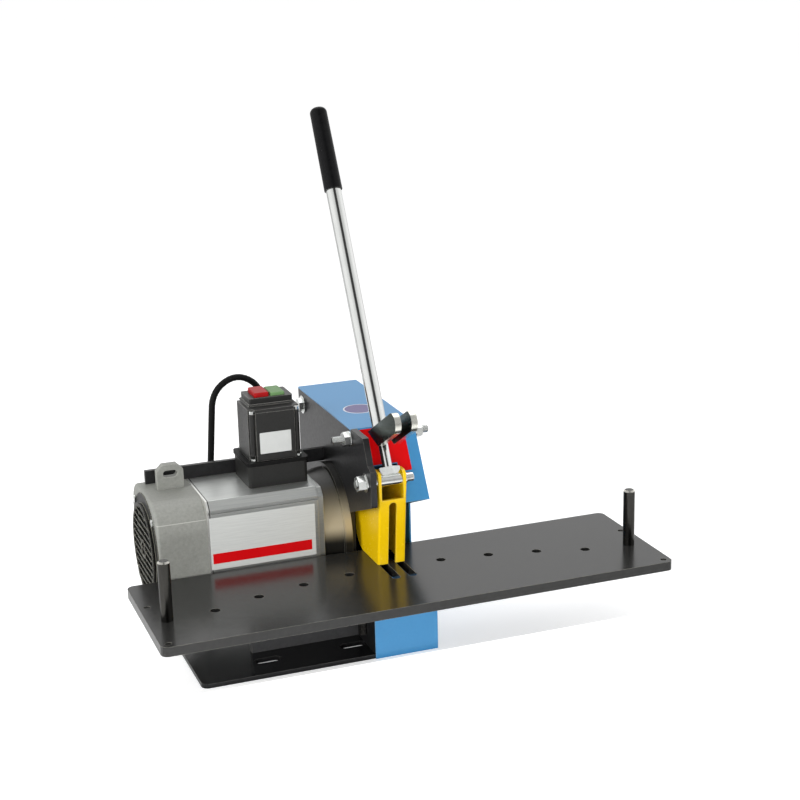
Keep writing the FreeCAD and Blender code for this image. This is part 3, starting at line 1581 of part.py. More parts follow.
# Write each piece as its own STEP file, after a look at every object's state
doc.recompute()
for item in doc.Objects:
    if "Invalid" in item.State or "Error" in item.State:
        raise RuntimeError(f"{item.Name} failed: {item.State}")
builders = [item for item in doc.Objects
            if item.TypeId in ("Part::Compound", "Part::MultiFuse", "Part::Cut", "Part::Common")]
used = {part.Name for item in builders for part in item.OutList}
whole = ("PartDesign::Body", "Part::Compound", "Part::MultiFuse", "Part::Cut", "Part::Common",
         "Part::Box", "Part::Feature")
pieces = [item for item in doc.Objects if item.TypeId in whole and item.Name not in used]
os.makedirs("parts", exist_ok=True)
for item in pieces:
    if item.Shape.isNull() or not item.Shape.isValid():
        raise RuntimeError(f"{item.Label} has no valid shape")
    item.Shape.exportStep(f"parts/{item.Label}.step")
print(len(pieces), "pieces written")
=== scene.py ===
import math

import bmesh
import bpy
from mathutils import Matrix, Vector


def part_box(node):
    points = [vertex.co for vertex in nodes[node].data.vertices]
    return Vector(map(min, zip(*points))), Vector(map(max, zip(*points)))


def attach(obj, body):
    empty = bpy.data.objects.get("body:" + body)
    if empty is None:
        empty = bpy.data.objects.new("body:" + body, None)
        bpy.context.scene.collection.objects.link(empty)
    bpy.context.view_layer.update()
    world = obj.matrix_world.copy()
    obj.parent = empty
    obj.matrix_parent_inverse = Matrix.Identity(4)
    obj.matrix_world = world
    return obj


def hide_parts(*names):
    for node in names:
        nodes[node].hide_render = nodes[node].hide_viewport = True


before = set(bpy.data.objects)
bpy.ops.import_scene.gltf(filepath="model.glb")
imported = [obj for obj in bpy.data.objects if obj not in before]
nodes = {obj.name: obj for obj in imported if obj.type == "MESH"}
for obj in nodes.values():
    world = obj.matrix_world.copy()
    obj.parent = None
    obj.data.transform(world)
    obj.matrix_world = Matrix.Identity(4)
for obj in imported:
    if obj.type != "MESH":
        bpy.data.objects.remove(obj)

scene = bpy.context.scene
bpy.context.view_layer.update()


# Studio: a pale bench under soft light from above, left and front. The machine stands at the
# bench's front edge, because its lever ends its stroke below the bench's top. The bench and
# the surroundings read as white to the camera and keep the shadow.
scene.view_settings.view_transform = "Standard"
camera_data = bpy.data.cameras.new("camera")
camera_data.sensor_width = 36
camera_data.lens = 74.64
camera_data.clip_end = 100
camera = bpy.data.objects.new("camera", camera_data)
scene.collection.objects.link(camera)
scene.camera = camera
view_right = Vector((0.93587, -0.35145, -0.02499))
view_up = Vector((0.11862, 0.24749, 0.96160))
view_back = Vector((-0.33177, -0.90290, 0.27331))
camera_place = Vector((-0.66798, -1.93454, 0.89894))
camera.matrix_world = Matrix.Translation(camera_place) @ Matrix(
    (view_right, view_up, view_back)).transposed().to_4x4()


def new_material(name):
    made = bpy.data.materials.new(name)
    made.use_nodes = True
    made.node_tree.nodes.clear()
    return made


def add_node(tree, kind, **values):
    """A shader node with its settings, then its inputs by name."""
    made = tree.nodes.new(kind)
    for key, value in values.items():
        if hasattr(made, key):
            setattr(made, key, value)
        else:
            made.inputs[key.replace("_", " ")].default_value = value
    return made


def join(tree, output, socket):
    tree.links.new(output, socket)


def span(tree, low_from, high_from, low_to, high_to, smooth=False):
    """A clamped change of scale from one range of values to another."""
    made = tree.nodes.new("ShaderNodeMapRange")
    for index, value in enumerate((low_from, high_from, low_to, high_to)):
        made.inputs[index + 1].default_value = value
    if smooth:
        made.interpolation_type = "SMOOTHSTEP"
    return made


floor_size = 60
bench_front = -0.096
bench_height = 0.8
floor_glow = 0.5
floor_mesh = bpy.data.meshes.new("floor")
floor_mesh.from_pydata(
    [(side * floor_size, y, z) for y, z in ((floor_size, 0), (bench_front, 0),
                                            (bench_front, -bench_height),
                                            (-floor_size, -bench_height)) for side in (-1, 1)],
    [], [(0, 2, 3, 1), (2, 4, 5, 3), (4, 6, 7, 5)])
floor = bpy.data.objects.new("floor", floor_mesh)
scene.collection.objects.link(floor)
floor_paint = new_material("floor_paint")
tree = floor_paint.node_tree
floor_matt = add_node(tree, "ShaderNodeBsdfDiffuse", Color=(0.9, 0.9, 0.9, 1))
floor_lift = add_node(tree, "ShaderNodeEmission", Color=(1, 1, 1, 1))
floor_rays = add_node(tree, "ShaderNodeLightPath")
floor_gain = add_node(tree, "ShaderNodeMath", operation="MULTIPLY")
floor_gain.inputs[1].default_value = floor_glow
floor_sum = add_node(tree, "ShaderNodeAddShader")
floor_out = add_node(tree, "ShaderNodeOutputMaterial")
join(tree, floor_rays.outputs["Is Camera Ray"], floor_gain.inputs[0])
join(tree, floor_gain.outputs[0], floor_lift.inputs["Strength"])
join(tree, floor_matt.outputs[0], floor_sum.inputs[0])
join(tree, floor_lift.outputs[0], floor_sum.inputs[1])
join(tree, floor_sum.outputs[0], floor_out.inputs["Surface"])
floor.data.materials.append(floor_paint)

# The room as polished faces mirror it: dark behind the camera, dimmer towards the roof, and
# with a glow high up behind the machine. All else sees an even level, the camera sees white.
room_level = 0.56
camera_side = (-0.09, -0.996, 0)
glow_side = (0.17, 0.47, 0.866)
world = bpy.data.worlds.new("studio")
world.use_nodes = True
scene.world = world
tree = world.node_tree
tree.nodes.clear()
sky_way = add_node(tree, "ShaderNodeTexCoord")
sky_level = add_node(tree, "ShaderNodeVectorMath", operation="MULTIPLY")
sky_level.inputs[1].default_value = (1, 1, 0)
sky_round = add_node(tree, "ShaderNodeVectorMath", operation="NORMALIZE")
sky_camera = add_node(tree, "ShaderNodeVectorMath", operation="DOT_PRODUCT")
sky_camera.inputs[1].default_value = camera_side
sky_dark = span(tree, 0.84, 0.96, 1, 0.07, smooth=True)
sky_behind = add_node(tree, "ShaderNodeVectorMath", operation="DOT_PRODUCT")
sky_behind.inputs[1].default_value = glow_side
sky_glow = span(tree, 0.79, 0.97, 0, 1.5, smooth=True)
sky_split = add_node(tree, "ShaderNodeSeparateXYZ")
sky_roof = span(tree, 0.35, 0.85, 0.9, 0.5, smooth=True)
sky_both = add_node(tree, "ShaderNodeMath", operation="MULTIPLY")
sky_sum = add_node(tree, "ShaderNodeMath", operation="ADD")
sky_rays = add_node(tree, "ShaderNodeLightPath")
sky_mix = add_node(tree, "ShaderNodeMix", data_type="FLOAT")
sky_mix.inputs[2].default_value = room_level
sky_seen = add_node(tree, "ShaderNodeMath", operation="MAXIMUM")
sky_light = add_node(tree, "ShaderNodeBackground", Color=(1, 1, 1, 1))
sky_out = add_node(tree, "ShaderNodeOutputWorld")
join(tree, sky_way.outputs["Generated"], sky_level.inputs[0])
join(tree, sky_level.outputs[0], sky_round.inputs[0])
join(tree, sky_round.outputs[0], sky_camera.inputs[0])
join(tree, sky_way.outputs["Generated"], sky_behind.inputs[0])
join(tree, sky_behind.outputs["Value"], sky_glow.inputs["Value"])
join(tree, sky_camera.outputs["Value"], sky_dark.inputs["Value"])
join(tree, sky_way.outputs["Generated"], sky_split.inputs[0])
join(tree, sky_split.outputs["Z"], sky_roof.inputs["Value"])
join(tree, sky_dark.outputs["Result"], sky_both.inputs[0])
join(tree, sky_roof.outputs["Result"], sky_both.inputs[1])
join(tree, sky_rays.outputs["Is Glossy Ray"], sky_mix.inputs[0])
join(tree, sky_both.outputs[0], sky_sum.inputs[0])
join(tree, sky_glow.outputs["Result"], sky_sum.inputs[1])
join(tree, sky_sum.outputs[0], sky_mix.inputs[3])
join(tree, sky_rays.outputs["Is Camera Ray"], sky_seen.inputs[0])
join(tree, sky_mix.outputs[0], sky_seen.inputs[1])
join(tree, sky_seen.outputs[0], sky_light.inputs["Strength"])
join(tree, sky_light.outputs[0], sky_out.inputs["Surface"])


def softbox(name, place, target, width, height, power):
    """A soft rectangular lamp that faces its target."""
    lamp = bpy.data.lights.new(name, "AREA")
    lamp.shape = "RECTANGLE"
    lamp.size = width
    lamp.size_y = height
    lamp.energy = power
    made = bpy.data.objects.new(name, lamp)
    scene.collection.objects.link(made)
    made.location = place
    made.rotation_mode = "QUATERNION"
    made.rotation_quaternion = (Vector(target) - Vector(place)).to_track_quat("-Z", "Y")
    made.visible_glossy = False


softbox("top_lamp", (-0.4, 0.3, 2.6), (0, 0, 0.1), 2.4, 1.8, 15)
softbox("left_lamp", (-2.4, -0.6, 1.1), (0, 0, 0.2), 1.4, 1.8, 38)
softbox("front_lamp", (-0.5, -2.8, 0.42), (0, 0, 0.06), 2.2, 0.8, 40)
softbox("right_lamp", (2.2, -1.4, 1.6), (0, 0, 0.2), 1.0, 1.6, 10)


# Power cable: a black rubber-sheathed mains cable, clamped in the gland of the switch
# cover. It loops over behind the box, drops behind the motor and is put away in a coil.
cable_radius = 0.0044
coil_centre = Vector((-0.145, 0.325, 0))
cable_route = [
    (-0.100, 0.1136, 0.25744), (-0.100, 0.142, 0.25744), (-0.099, 0.161, 0.277),
    (-0.099, 0.163, 0.311), (-0.133, 0.158, 0.331), (-0.167, 0.154, 0.311),
    (-0.171, 0.152, 0.268), (-0.174, 0.156, 0.214), (-0.176, 0.166, 0.162),
    (-0.179, 0.175, 0.112), (-0.183, 0.187, 0.064), (-0.191, 0.213, 0.026),
    (-0.201, 0.253, 0.008), (-0.206, 0.292, 0.0044),
]
turn_low = cable_radius
turn_high = cable_radius * 3
turn_outside = cable_radius * 14.02
turn_outer = cable_radius * 12
turn_inner = cable_radius * 10
coil_plan = [
    (0, turn_outside, turn_low), (0.3, turn_outer, turn_low), (1, turn_outer, turn_low),
    (1.3, turn_inner, turn_low), (1.72, turn_inner, turn_low), (1.97, turn_inner, turn_high),
    (2.4, turn_inner, turn_high), (2.68, turn_outer, turn_high), (3.08, turn_outer, turn_high),
    (3.16, turn_outer * 1.05, turn_high * 0.96), (3.25, turn_outside * 1.02, turn_low * 1.6),
]
points_per_turn = 16
turns = coil_plan[-1][0]
for i in range(1, int(turns * points_per_turn)):
    lap = i / points_per_turn
    after = next(k for k, stop in enumerate(coil_plan) if stop[0] > lap)
    lap0, radius0, height0 = coil_plan[after - 1]
    lap1, radius1, height1 = coil_plan[after]
    share = (lap - lap0) / (lap1 - lap0)
    angle = math.pi - lap * 2 * math.pi
    radius = radius0 + (radius1 - radius0) * share
    cable_route.append((coil_centre.x + radius * math.cos(angle),
                        coil_centre.y + radius * math.sin(angle),
                        height0 + (height1 - height0) * share))
cable_route += [
    (-0.130, 0.3866, 0.0046), (-0.105, 0.3866, 0.0044), (-0.070, 0.382, 0.009),
    (-0.0397, 0.3782, 0.0195), (-0.010, 0.374, 0.0195),
]
cable_curve = bpy.data.curves.new("power_lead", "CURVE")
cable_curve.dimensions = "3D"
spline = cable_curve.splines.new("NURBS")
spline.points.add(len(cable_route) - 1)
for point, place in zip(spline.points, cable_route):
    point.co = (*place, 1)
    point.radius = cable_radius
spline.order_u = 3
spline.use_endpoint_u = True
cable_curve.bevel_depth = 1
cable_curve.bevel_resolution = 4
cable_curve.resolution_u = 6
cable_curve.use_fill_caps = True
power_lead = bpy.data.objects.new("power_lead", cable_curve)
scene.collection.objects.link(power_lead)
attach(power_lead, "frame")
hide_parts("power_cable", "cable_coil")


# Welded frame: the base plate, the C-shaped side plate and the bracket under the table are
# flame-cut steel, welded together, blasted and given one coat of black powder.
def shade(red, green, blue):
    """A colour mixed as 0 to 255 numbers, as a shader takes it."""
    levels = [level / 255 for level in (red, green, blue)]
    linear = [((level + 0.055) / 1.055) ** 2.4 if level > 0.04 else level / 12.92
              for level in levels]
    return (*linear, 1)


def new_group(name, takes, gives):
    """A shader group with named sockets, and the nodes at its two ends."""
    group = bpy.data.node_groups.new(name, "ShaderNodeTree")
    for label, kind in takes:
        group.interface.new_socket(label, in_out="INPUT", socket_type=f"NodeSocket{kind}")
    for label, kind in gives:
        group.interface.new_socket(label, in_out="OUTPUT", socket_type=f"NodeSocket{kind}")
    return group, group.nodes.new("NodeGroupInput"), group.nodes.new("NodeGroupOutput")


def use_group(tree, group, **values):
    made = tree.nodes.new("ShaderNodeGroup")
    made.node_tree = group
    for key, value in values.items():
        made.inputs[key].default_value = value
    return made


# Edge mask: rounded edges take a lighter colour, partly as wear and partly as a painted highlight
# along them.
edge_wear_highlight, taken, given = new_group(
    "edge_wear_highlight", (("Width", "Float"), ("Breaks", "Float")),
    (("Mask", "Float"), ("Normal", "Vector")))
edge_round = add_node(edge_wear_highlight, "ShaderNodeBevel", samples=4)
edge_flat = add_node(edge_wear_highlight, "ShaderNodeNewGeometry")
edge_turn = add_node(edge_wear_highlight, "ShaderNodeVectorMath", operation="DOT_PRODUCT")
edge_rise = span(edge_wear_highlight, 0.99, 0.88, 0, 1)
edge_place = add_node(edge_wear_highlight, "ShaderNodeTexCoord")
edge_noise = add_node(edge_wear_highlight, "ShaderNodeTexNoise", Scale=55.0, Detail=4.0)
edge_gaps = span(edge_wear_highlight, 0.3, 0.62, 1, 0)
edge_keep = add_node(edge_wear_highlight, "ShaderNodeMath", operation="MULTIPLY")
edge_less = add_node(edge_wear_highlight, "ShaderNodeMath", operation="SUBTRACT")
edge_less.inputs[0].default_value = 1
edge_mask = add_node(edge_wear_highlight, "ShaderNodeMath", operation="MULTIPLY")
join(edge_wear_highlight, taken.outputs["Width"], edge_round.inputs["Radius"])
join(edge_wear_highlight, edge_round.outputs["Normal"], edge_turn.inputs[0])
join(edge_wear_highlight, edge_flat.outputs["Normal"], edge_turn.inputs[1])
join(edge_wear_highlight, edge_turn.outputs["Value"], edge_rise.inputs["Value"])
join(edge_wear_highlight, edge_place.outputs["Object"], edge_noise.inputs["Vector"])
join(edge_wear_highlight, edge_noise.outputs["Fac"], edge_gaps.inputs["Value"])
join(edge_wear_highlight, edge_gaps.outputs["Result"], edge_keep.inputs[0])
join(edge_wear_highlight, taken.outputs["Breaks"], edge_keep.inputs[1])
join(edge_wear_highlight, edge_keep.outputs[0], edge_less.inputs[1])
join(edge_wear_highlight, edge_rise.outputs["Result"], edge_mask.inputs[0])
join(edge_wear_highlight, edge_less.outputs[0], edge_mask.inputs[1])
join(edge_wear_highlight, edge_mask.outputs[0], given.inputs["Mask"])
join(edge_wear_highlight, edge_round.outputs["Normal"], given.inputs["Normal"])

fine_grain, taken, given = new_group(
    "fine_grain", (("Stretch", "Vector"),), (("Shade", "Float"), ("Height", "Float")))
grain_place = add_node(fine_grain, "ShaderNodeTexCoord")
grain_scale = add_node(fine_grain, "ShaderNodeVectorMath", operation="MULTIPLY")
grain_broad = add_node(fine_grain, "ShaderNodeTexNoise", Scale=1.0, Detail=5.0, Roughness=0.65)
grain_close = add_node(fine_grain, "ShaderNodeTexNoise", Scale=9.0, Detail=2.0)
grain_level = span(fine_grain, 0.3, 0.7, 0, 1)
join(fine_grain, grain_place.outputs["Object"], grain_scale.inputs[0])
join(fine_grain, taken.outputs["Stretch"], grain_scale.inputs[1])
join(fine_grain, grain_scale.outputs[0], grain_broad.inputs["Vector"])
join(fine_grain, grain_scale.outputs[0], grain_close.inputs["Vector"])
join(fine_grain, grain_broad.outputs["Fac"], grain_level.inputs["Value"])
join(fine_grain, grain_level.outputs["Result"], given.inputs["Shade"])
join(fine_grain, grain_close.outputs["Fac"], given.inputs["Height"])


def blend_colours(tree, mask, under, over):
    """One colour over another through a mask; a colour is a value or a socket."""
    made = add_node(tree, "ShaderNodeMix", data_type="RGBA")
    join(tree, mask, made.inputs[0])
    for index, colour in ((6, under), (7, over)):
        if isinstance(colour, tuple):
            made.inputs[index].default_value = colour
        else:
            join(tree, colour, made.inputs[index])
    return made.outputs[2]


def new_finish(name, light, dark, worn_highlight, roughness, spread=0.06, stretch=(60, 60, 60),
               relief=0.1, edge=0.0006, breaks=0.7, metal=0.0, shine=0.5):
    """A grained, slightly uneven surface whose edges are rounded, worn and brightened by a painted
    highlight.
    """
    made = new_material(name)
    tree = made.node_tree
    grain = use_group(tree, fine_grain, Stretch=stretch)
    wear_highlight = use_group(tree, edge_wear_highlight, Width=edge, Breaks=breaks)
    body = blend_colours(tree, grain.outputs["Shade"], dark, light)
    tint = blend_colours(tree, wear_highlight.outputs["Mask"], body, worn_highlight)
    gloss = span(tree, 0, 1, roughness - spread, roughness + spread)
    bump = add_node(tree, "ShaderNodeBump", Strength=relief, Distance=0.0002)
    shader = add_node(tree, "ShaderNodeBsdfPrincipled", Metallic=metal,
                      Specular_IOR_Level=shine)
    out = add_node(tree, "ShaderNodeOutputMaterial")
    join(tree, grain.outputs["Shade"], gloss.inputs["Value"])
    join(tree, grain.outputs["Height"], bump.inputs["Height"])
    join(tree, wear_highlight.outputs["Normal"], bump.inputs["Normal"])
    join(tree, tint, shader.inputs["Base Color"])
    join(tree, gloss.outputs["Result"], shader.inputs["Roughness"])
    join(tree, bump.outputs["Normal"], shader.inputs["Normal"])
    join(tree, shader.outputs[0], out.inputs["Surface"])
    return made


def shader_of(finish):
    return finish.node_tree.nodes["Principled BSDF"]


def paint_over(finish, mask, colour):
    """Put one more colour on a finish, where a mask says."""
    tree = finish.node_tree
    base = shader_of(finish).inputs["Base Color"]
    join(tree, blend_colours(tree, mask, base.links[0].from_socket, colour), base)


def dress(finish, *names):
    for name in names:
        nodes[name].material_slots[0].material = finish


black_coat = new_finish("black_coat", shade(40, 40, 41), shade(27, 27, 28),
                        shade(128, 126, 118), 0.36, stretch=(220, 220, 220), relief=0.12)
dress(black_coat, "side_plate", "rear_bar")
# The base plate's copy of the coat is darker: painted shade under the table.
base_shaded_coat = new_finish("base_shaded_coat", shade(32, 32, 33), shade(24, 24, 25), shade(110, 108, 102),
                       0.2, spread=0.02, stretch=(220, 220, 220), relief=0.02, shine=0.35)
dress(base_shaded_coat, "base_plate")
# The bracket's copy of the coat is lighter: painted light on its front under the table.
bracket_lit_coat = new_finish("bracket_lit_coat", shade(72, 72, 73), shade(60, 60, 61),
                          shade(128, 126, 118), 0.4, stretch=(220, 220, 220), relief=0.12)
dress(bracket_lit_coat, "table_bracket")


# Table plate: a thick steel plate, drilled, slotted and coated with a glossier black that
# mirrors what stands on it. Four headless screws are sunk in its corners.
# The table's edges are painted light through the edge mask, as the highlights along them.
table_coat = new_finish("table_coat", shade(44, 44, 43), shade(36, 36, 35),
                        shade(150, 148, 138), 0.21, spread=0.03, stretch=(140, 140, 140),
                        relief=0.05, edge=0.0008, breaks=0.4)
dress(table_coat, "table_plate")
screw_black = new_finish("screw_black", shade(62, 61, 58), shade(40, 40, 38),
                         shade(165, 163, 155), 0.34, stretch=(300, 300, 300), metal=1.0,
                         edge=0.0004)
dress(screw_black, "table_screws")


# Threaded bar: oiled dark steel, hanging under the table and held by its nut. Its thread is
# a fine wave pressed into the surface along the bar.
def band(tree, axis, low, high):
    """A mask that is 1 between two places along an axis."""
    spot = add_node(tree, "ShaderNodeTexCoord")
    split = add_node(tree, "ShaderNodeSeparateXYZ")
    near = add_node(tree, "ShaderNodeMath", operation="COMPARE")
    near.inputs[1].default_value = (low + high) / 2
    near.inputs[2].default_value = (high - low) / 2
    join(tree, spot.outputs["Object"], split.inputs[0])
    join(tree, split.outputs[axis], near.inputs[0])
    return near.outputs[0]


def add_thread(finish, axis, pitch, *reaches):
    """Press a thread into a finish, on each stretch between two places along an axis."""
    tree = finish.node_tree
    spot = add_node(tree, "ShaderNodeTexCoord")
    wave = add_node(tree, "ShaderNodeTexWave", bands_direction=axis,
                    Scale=2 * math.pi / (20 * pitch))
    bump = add_node(tree, "ShaderNodeBump", Distance=pitch * 0.35)
    join(tree, spot.outputs["Object"], wave.inputs["Vector"])
    total = band(tree, axis, *reaches[0])
    for reach in reaches[1:]:
        both = add_node(tree, "ShaderNodeMath", operation="MAXIMUM")
        join(tree, total, both.inputs[0])
        join(tree, band(tree, axis, *reach), both.inputs[1])
        total = both.outputs[0]
    join(tree, total, bump.inputs["Strength"])
    join(tree, wave.outputs["Fac"], bump.inputs["Height"])
    normal = shader_of(finish).inputs["Normal"]
    join(tree, normal.links[0].from_socket, bump.inputs["Normal"])
    join(tree, bump.outputs["Normal"], normal)


oiled_thread = new_finish("oiled_thread", shade(92, 90, 86), shade(66, 65, 62),
                          shade(170, 168, 160), 0.3, stretch=(300, 300, 300), metal=1.0,
                          edge=0.0004)
add_thread(oiled_thread, "Z", 0.0015, (0.029, 0.099))
dress(oiled_thread, "table_stud")


# Bending pins: two turned posts of blackened steel with chamfered tops, where a bright ring
# is painted as the highlight the chamfer catches. Their spigots drop into the outermost table
# holes.
pin_steel = new_finish("pin_steel", shade(84, 83, 80), shade(66, 65, 62),
                       shade(200, 198, 190), 0.24, stretch=(260, 260, 26), metal=1.0,
                       edge=0.0005)
# A bright ring painted round the top chamfer stands in for its highlight.
paint_over(pin_steel, band(pin_steel.node_tree, "Z", 0.1930, 0.1949), shade(232, 230, 222))
dress(pin_steel, "left_pin", "right_pin")


# Blue hood and lower guard: bent steel sheet over the knife, welded at the corners and
# powder coated in a satin sky blue.
blue_coat = new_finish("blue_coat", shade(62, 138, 190), shade(58, 134, 187),
                       shade(176, 200, 216), 0.32, spread=0.02, stretch=(240, 240, 240),
                       relief=0.04, edge=0.0007, breaks=0.5)
dress(blue_coat, "hood", "lower_guard")


# Tie rod, hood bolt, nuts and washers: bright zinc-plated fasteners that hold the hood's
# wall and the side plate apart. Only the tie rod shows its threads, one at each end.
zinc_plate = new_finish("zinc_plate", shade(240, 242, 239), shade(216, 219, 217),
                        shade(252, 252, 250), 0.16, spread=0.05, stretch=(160, 160, 160),
                        relief=0.08, edge=0.0005, breaks=0.2, metal=1.0)
dress(zinc_plate, "m10_nuts", "tie_washers", "hood_bolt", "hood_bolt_washer", "flange_screws",
      "fan_cover_screws", "box_screws")
zinc_tie = new_finish("zinc_tie", shade(236, 238, 235), shade(210, 213, 211),
                      shade(240, 240, 236), 0.22, stretch=(160, 160, 160), metal=1.0,
                      edge=0.0003)
add_thread(zinc_tie, "X", 0.0015, (-0.0555, -0.0325), (0.0555, 0.074))
dress(zinc_tie, "tie_rod")


# Motor inside: the shaft and bearings are ground steel, the rotor and stator are stacked
# sheet, and the windings are lacquered copper wire.
ground_steel = new_finish("ground_steel", shade(196, 197, 198), shade(168, 169, 171),
                          shade(230, 230, 228), 0.22, stretch=(30, 400, 400), metal=1.0)
dress(ground_steel, "motor_shaft", "blade_clamp_inner", "blade_clamp_outer", "front_bearing",
      "rear_bearing")
stacked_sheet = new_finish("stacked_sheet", shade(120, 119, 116), shade(82, 81, 79),
                           shade(168, 166, 160), 0.45, stretch=(2000, 40, 40), metal=0.8,
                           relief=0.4)
dress(stacked_sheet, "rotor", "stator_core")
copper_wire = new_finish("copper_wire", shade(196, 112, 62), shade(140, 70, 34),
                         shade(222, 150, 96), 0.35, stretch=(900, 60, 60), metal=1.0,
                         relief=0.6)
dress(copper_wire, "stator_windings")


# Front shield: a turned iron casting between the motor and the side plate, dark with oil,
# with a warm band of painted reflection and light across its front at mid height.
shield_cast = new_finish("shield_cast", shade(40, 39, 36), shade(28, 28, 26),
                         shade(120, 118, 108), 0.34, spread=0.06, stretch=(300, 8, 8),
                         relief=0.06, metal=0.3, edge=0.0009, breaks=0.2)
tree = shield_cast.node_tree
shield_spot = add_node(tree, "ShaderNodeTexCoord")
shield_split = add_node(tree, "ShaderNodeSeparateXYZ")
shield_over = span(tree, 0.203, 0.163, 0, 1, smooth=True)
shield_under = span(tree, 0.131, 0.156, 0, 1, smooth=True)
shield_front = span(tree, 0.06, 0.04, 0, 1, smooth=True)
shield_glow_band = add_node(tree, "ShaderNodeMath", operation="MULTIPLY")
shield_painted_glow = add_node(tree, "ShaderNodeMath", operation="MULTIPLY")
for part, axis in ((shield_over, "Z"), (shield_under, "Z"), (shield_front, "Y")):
    join(tree, shield_split.outputs[axis], part.inputs["Value"])
join(tree, shield_spot.outputs["Object"], shield_split.inputs[0])
join(tree, shield_over.outputs["Result"], shield_glow_band.inputs[0])
join(tree, shield_under.outputs["Result"], shield_glow_band.inputs[1])
join(tree, shield_glow_band.outputs[0], shield_painted_glow.inputs[0])
join(tree, shield_front.outputs["Result"], shield_painted_glow.inputs[1])
# The warm band is painted reflection and light: lighter at mid height and towards the front.
paint_over(shield_cast, shield_painted_glow.outputs[0], shade(190, 177, 148))
dress(shield_cast, "front_shield")


# Motor housing and end ring: an aluminium extrusion, satin along its length and closed by a
# ring. A dark joint and a turned lip, painted bright as its highlight, mark its end by the fan
# cover.
satin_aluminium = new_finish("satin_aluminium", shade(214, 216, 213), shade(192, 195, 193),
                             shade(252, 252, 250), 0.36, spread=0.05, stretch=(14, 700, 700),
                             relief=0.1, metal=0.85, edge=0.0012, breaks=0.1)
tree = satin_aluminium.node_tree
paint_over(satin_aluminium, band(tree, "X", -0.2185, -0.2172), shade(70, 71, 70))
# The bright band on the turned lip is a painted highlight; the edge mask paints the housing's
# edges white as their highlight.
paint_over(satin_aluminium, band(tree, "X", -0.2212, -0.2185), shade(246, 246, 242))
dress(satin_aluminium, "motor_housing", "end_ring")


# Rating plate: a thin aluminium plate stuck on the housing's front and left bare, with a
# plain red stripe of film along its foot.
def facing_front(left, right, y, low, high):
    """The corners of an upright rectangle that faces the front."""
    return [(left, y, low), (right, y, low), (right, y, high), (left, y, high)]


def thin_plate(name, corners, thick, finish, bevel):
    """A sheet over corners given in order round it, whose upright edges can be rounded."""
    mesh = bpy.data.meshes.new(name)
    shape = bmesh.new()
    foot = [shape.verts.new(corner) for corner in corners]
    foot_face = shape.faces.new(foot)
    foot_face.normal_update()
    lift = foot_face.normal * thick
    top = [shape.verts.new(vert.co + lift) for vert in foot]
    shape.faces.new(top)
    for k in range(len(foot)):
        j = (k + 1) % len(foot)
        shape.faces.new((foot[k], foot[j], top[j], top[k]))
    bmesh.ops.recalc_face_normals(shape, faces=shape.faces)
    if bevel > 0:
        rising = [shape.edges.get(pair) for pair in zip(foot, top)]
        bmesh.ops.bevel(shape, geom=rising, offset=bevel, segments=4, affect="EDGES",
                        profile=0.5)
    shape.to_mesh(mesh)
    shape.free()
    mesh.materials.append(finish)
    made = bpy.data.objects.new(name, mesh)
    scene.collection.objects.link(made)
    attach(made, "frame")
    return made


plate_silver = new_finish("plate_silver", shade(228, 230, 227), shade(214, 216, 213),
                          shade(244, 244, 242), 0.4, spread=0.04, stretch=(30, 900, 900),
                          relief=0.04, metal=0.25, edge=0.0003)
stripe_red = new_finish("stripe_red", shade(208, 8, 16), shade(200, 6, 12),
                        shade(222, 60, 60), 0.38, stretch=(80, 80, 80), relief=0.03,
                        edge=0.0002, shine=0.25)
housing_face = -0.006
plate_thick = 0.0004
film_thick = 0.0002
thin_plate("rating_plate", facing_front(-0.219, -0.080, housing_face, 0.1225, 0.192),
           plate_thick, plate_silver, 0.001)
thin_plate("rating_stripe",
           facing_front(-0.2165, -0.0855, housing_face - plate_thick, 0.1305, 0.144),
           film_thick, stripe_red, 0.0005)


# Fan cover, rear shield and lifting lug: sand castings in a matt grey paint. A parting line
# runs along the cover above its middle, painted as a light line for the highlight on its crease.
grey_coat = new_finish("grey_coat", shade(144, 145, 139), shade(128, 129, 124),
                       shade(196, 196, 188), 0.5, stretch=(260, 260, 260), relief=0.35,
                       edge=0.0012, breaks=0.5)
# A light line painted along the parting line stands in for the highlight on its crease.
paint_over(grey_coat, band(grey_coat.node_tree, "Z", 0.1893, 0.1901), shade(176, 176, 170))
dress(grey_coat, "fan_cover", "lifting_lug", "rear_shield")


# Fan guard: a black moulded drum on a round flange, proud of the cover, with level bars
# across it, three upright ribs behind them and a ring at its middle. It takes the place of
# the CAD grille, and the fan behind it is the same plastic.
# The edges of the bars are painted light through the edge mask, as the highlight of the top light
# on them.
grille_black = new_finish("grille_black", shade(22, 22, 21), shade(16, 16, 16),
                          shade(176, 174, 158), 0.42, stretch=(300, 300, 300), edge=0.0007,
                          breaks=0.2, shine=0.2)
dress(grille_black, "cooling_fan")
grille_low, grille_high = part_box("fan_grille")
grille_y = (grille_low[1] + grille_high[1]) / 2
grille_z = (grille_low[2] + grille_high[2]) / 2
grille_back = grille_high[0]
drum_radius = (grille_high[1] - grille_low[1]) / 2
drum_wall = 0.0042
drum_depth = 0.0058
drum_edge = 0.0012
drum_facet = 0.0004
drum_sides = 96
flange_radius = 0.0735
flange_thick = 0.0012
flange_cut = 0.0005
ring_outer = 0.0125
ring_inner = 0.0097
ring_sides = 40
ring_front = 0.0054
ring_back = 0.0024
ring_cut = 0.0004
bar_pitch = 0.0093
bar_half = 0.0009
bar_seat = 0.001
bar_front = 0.0050
bar_back = 0.0022
rib_pitch = 0.028
rib_front = 0.0024
rib_back = 0.0006


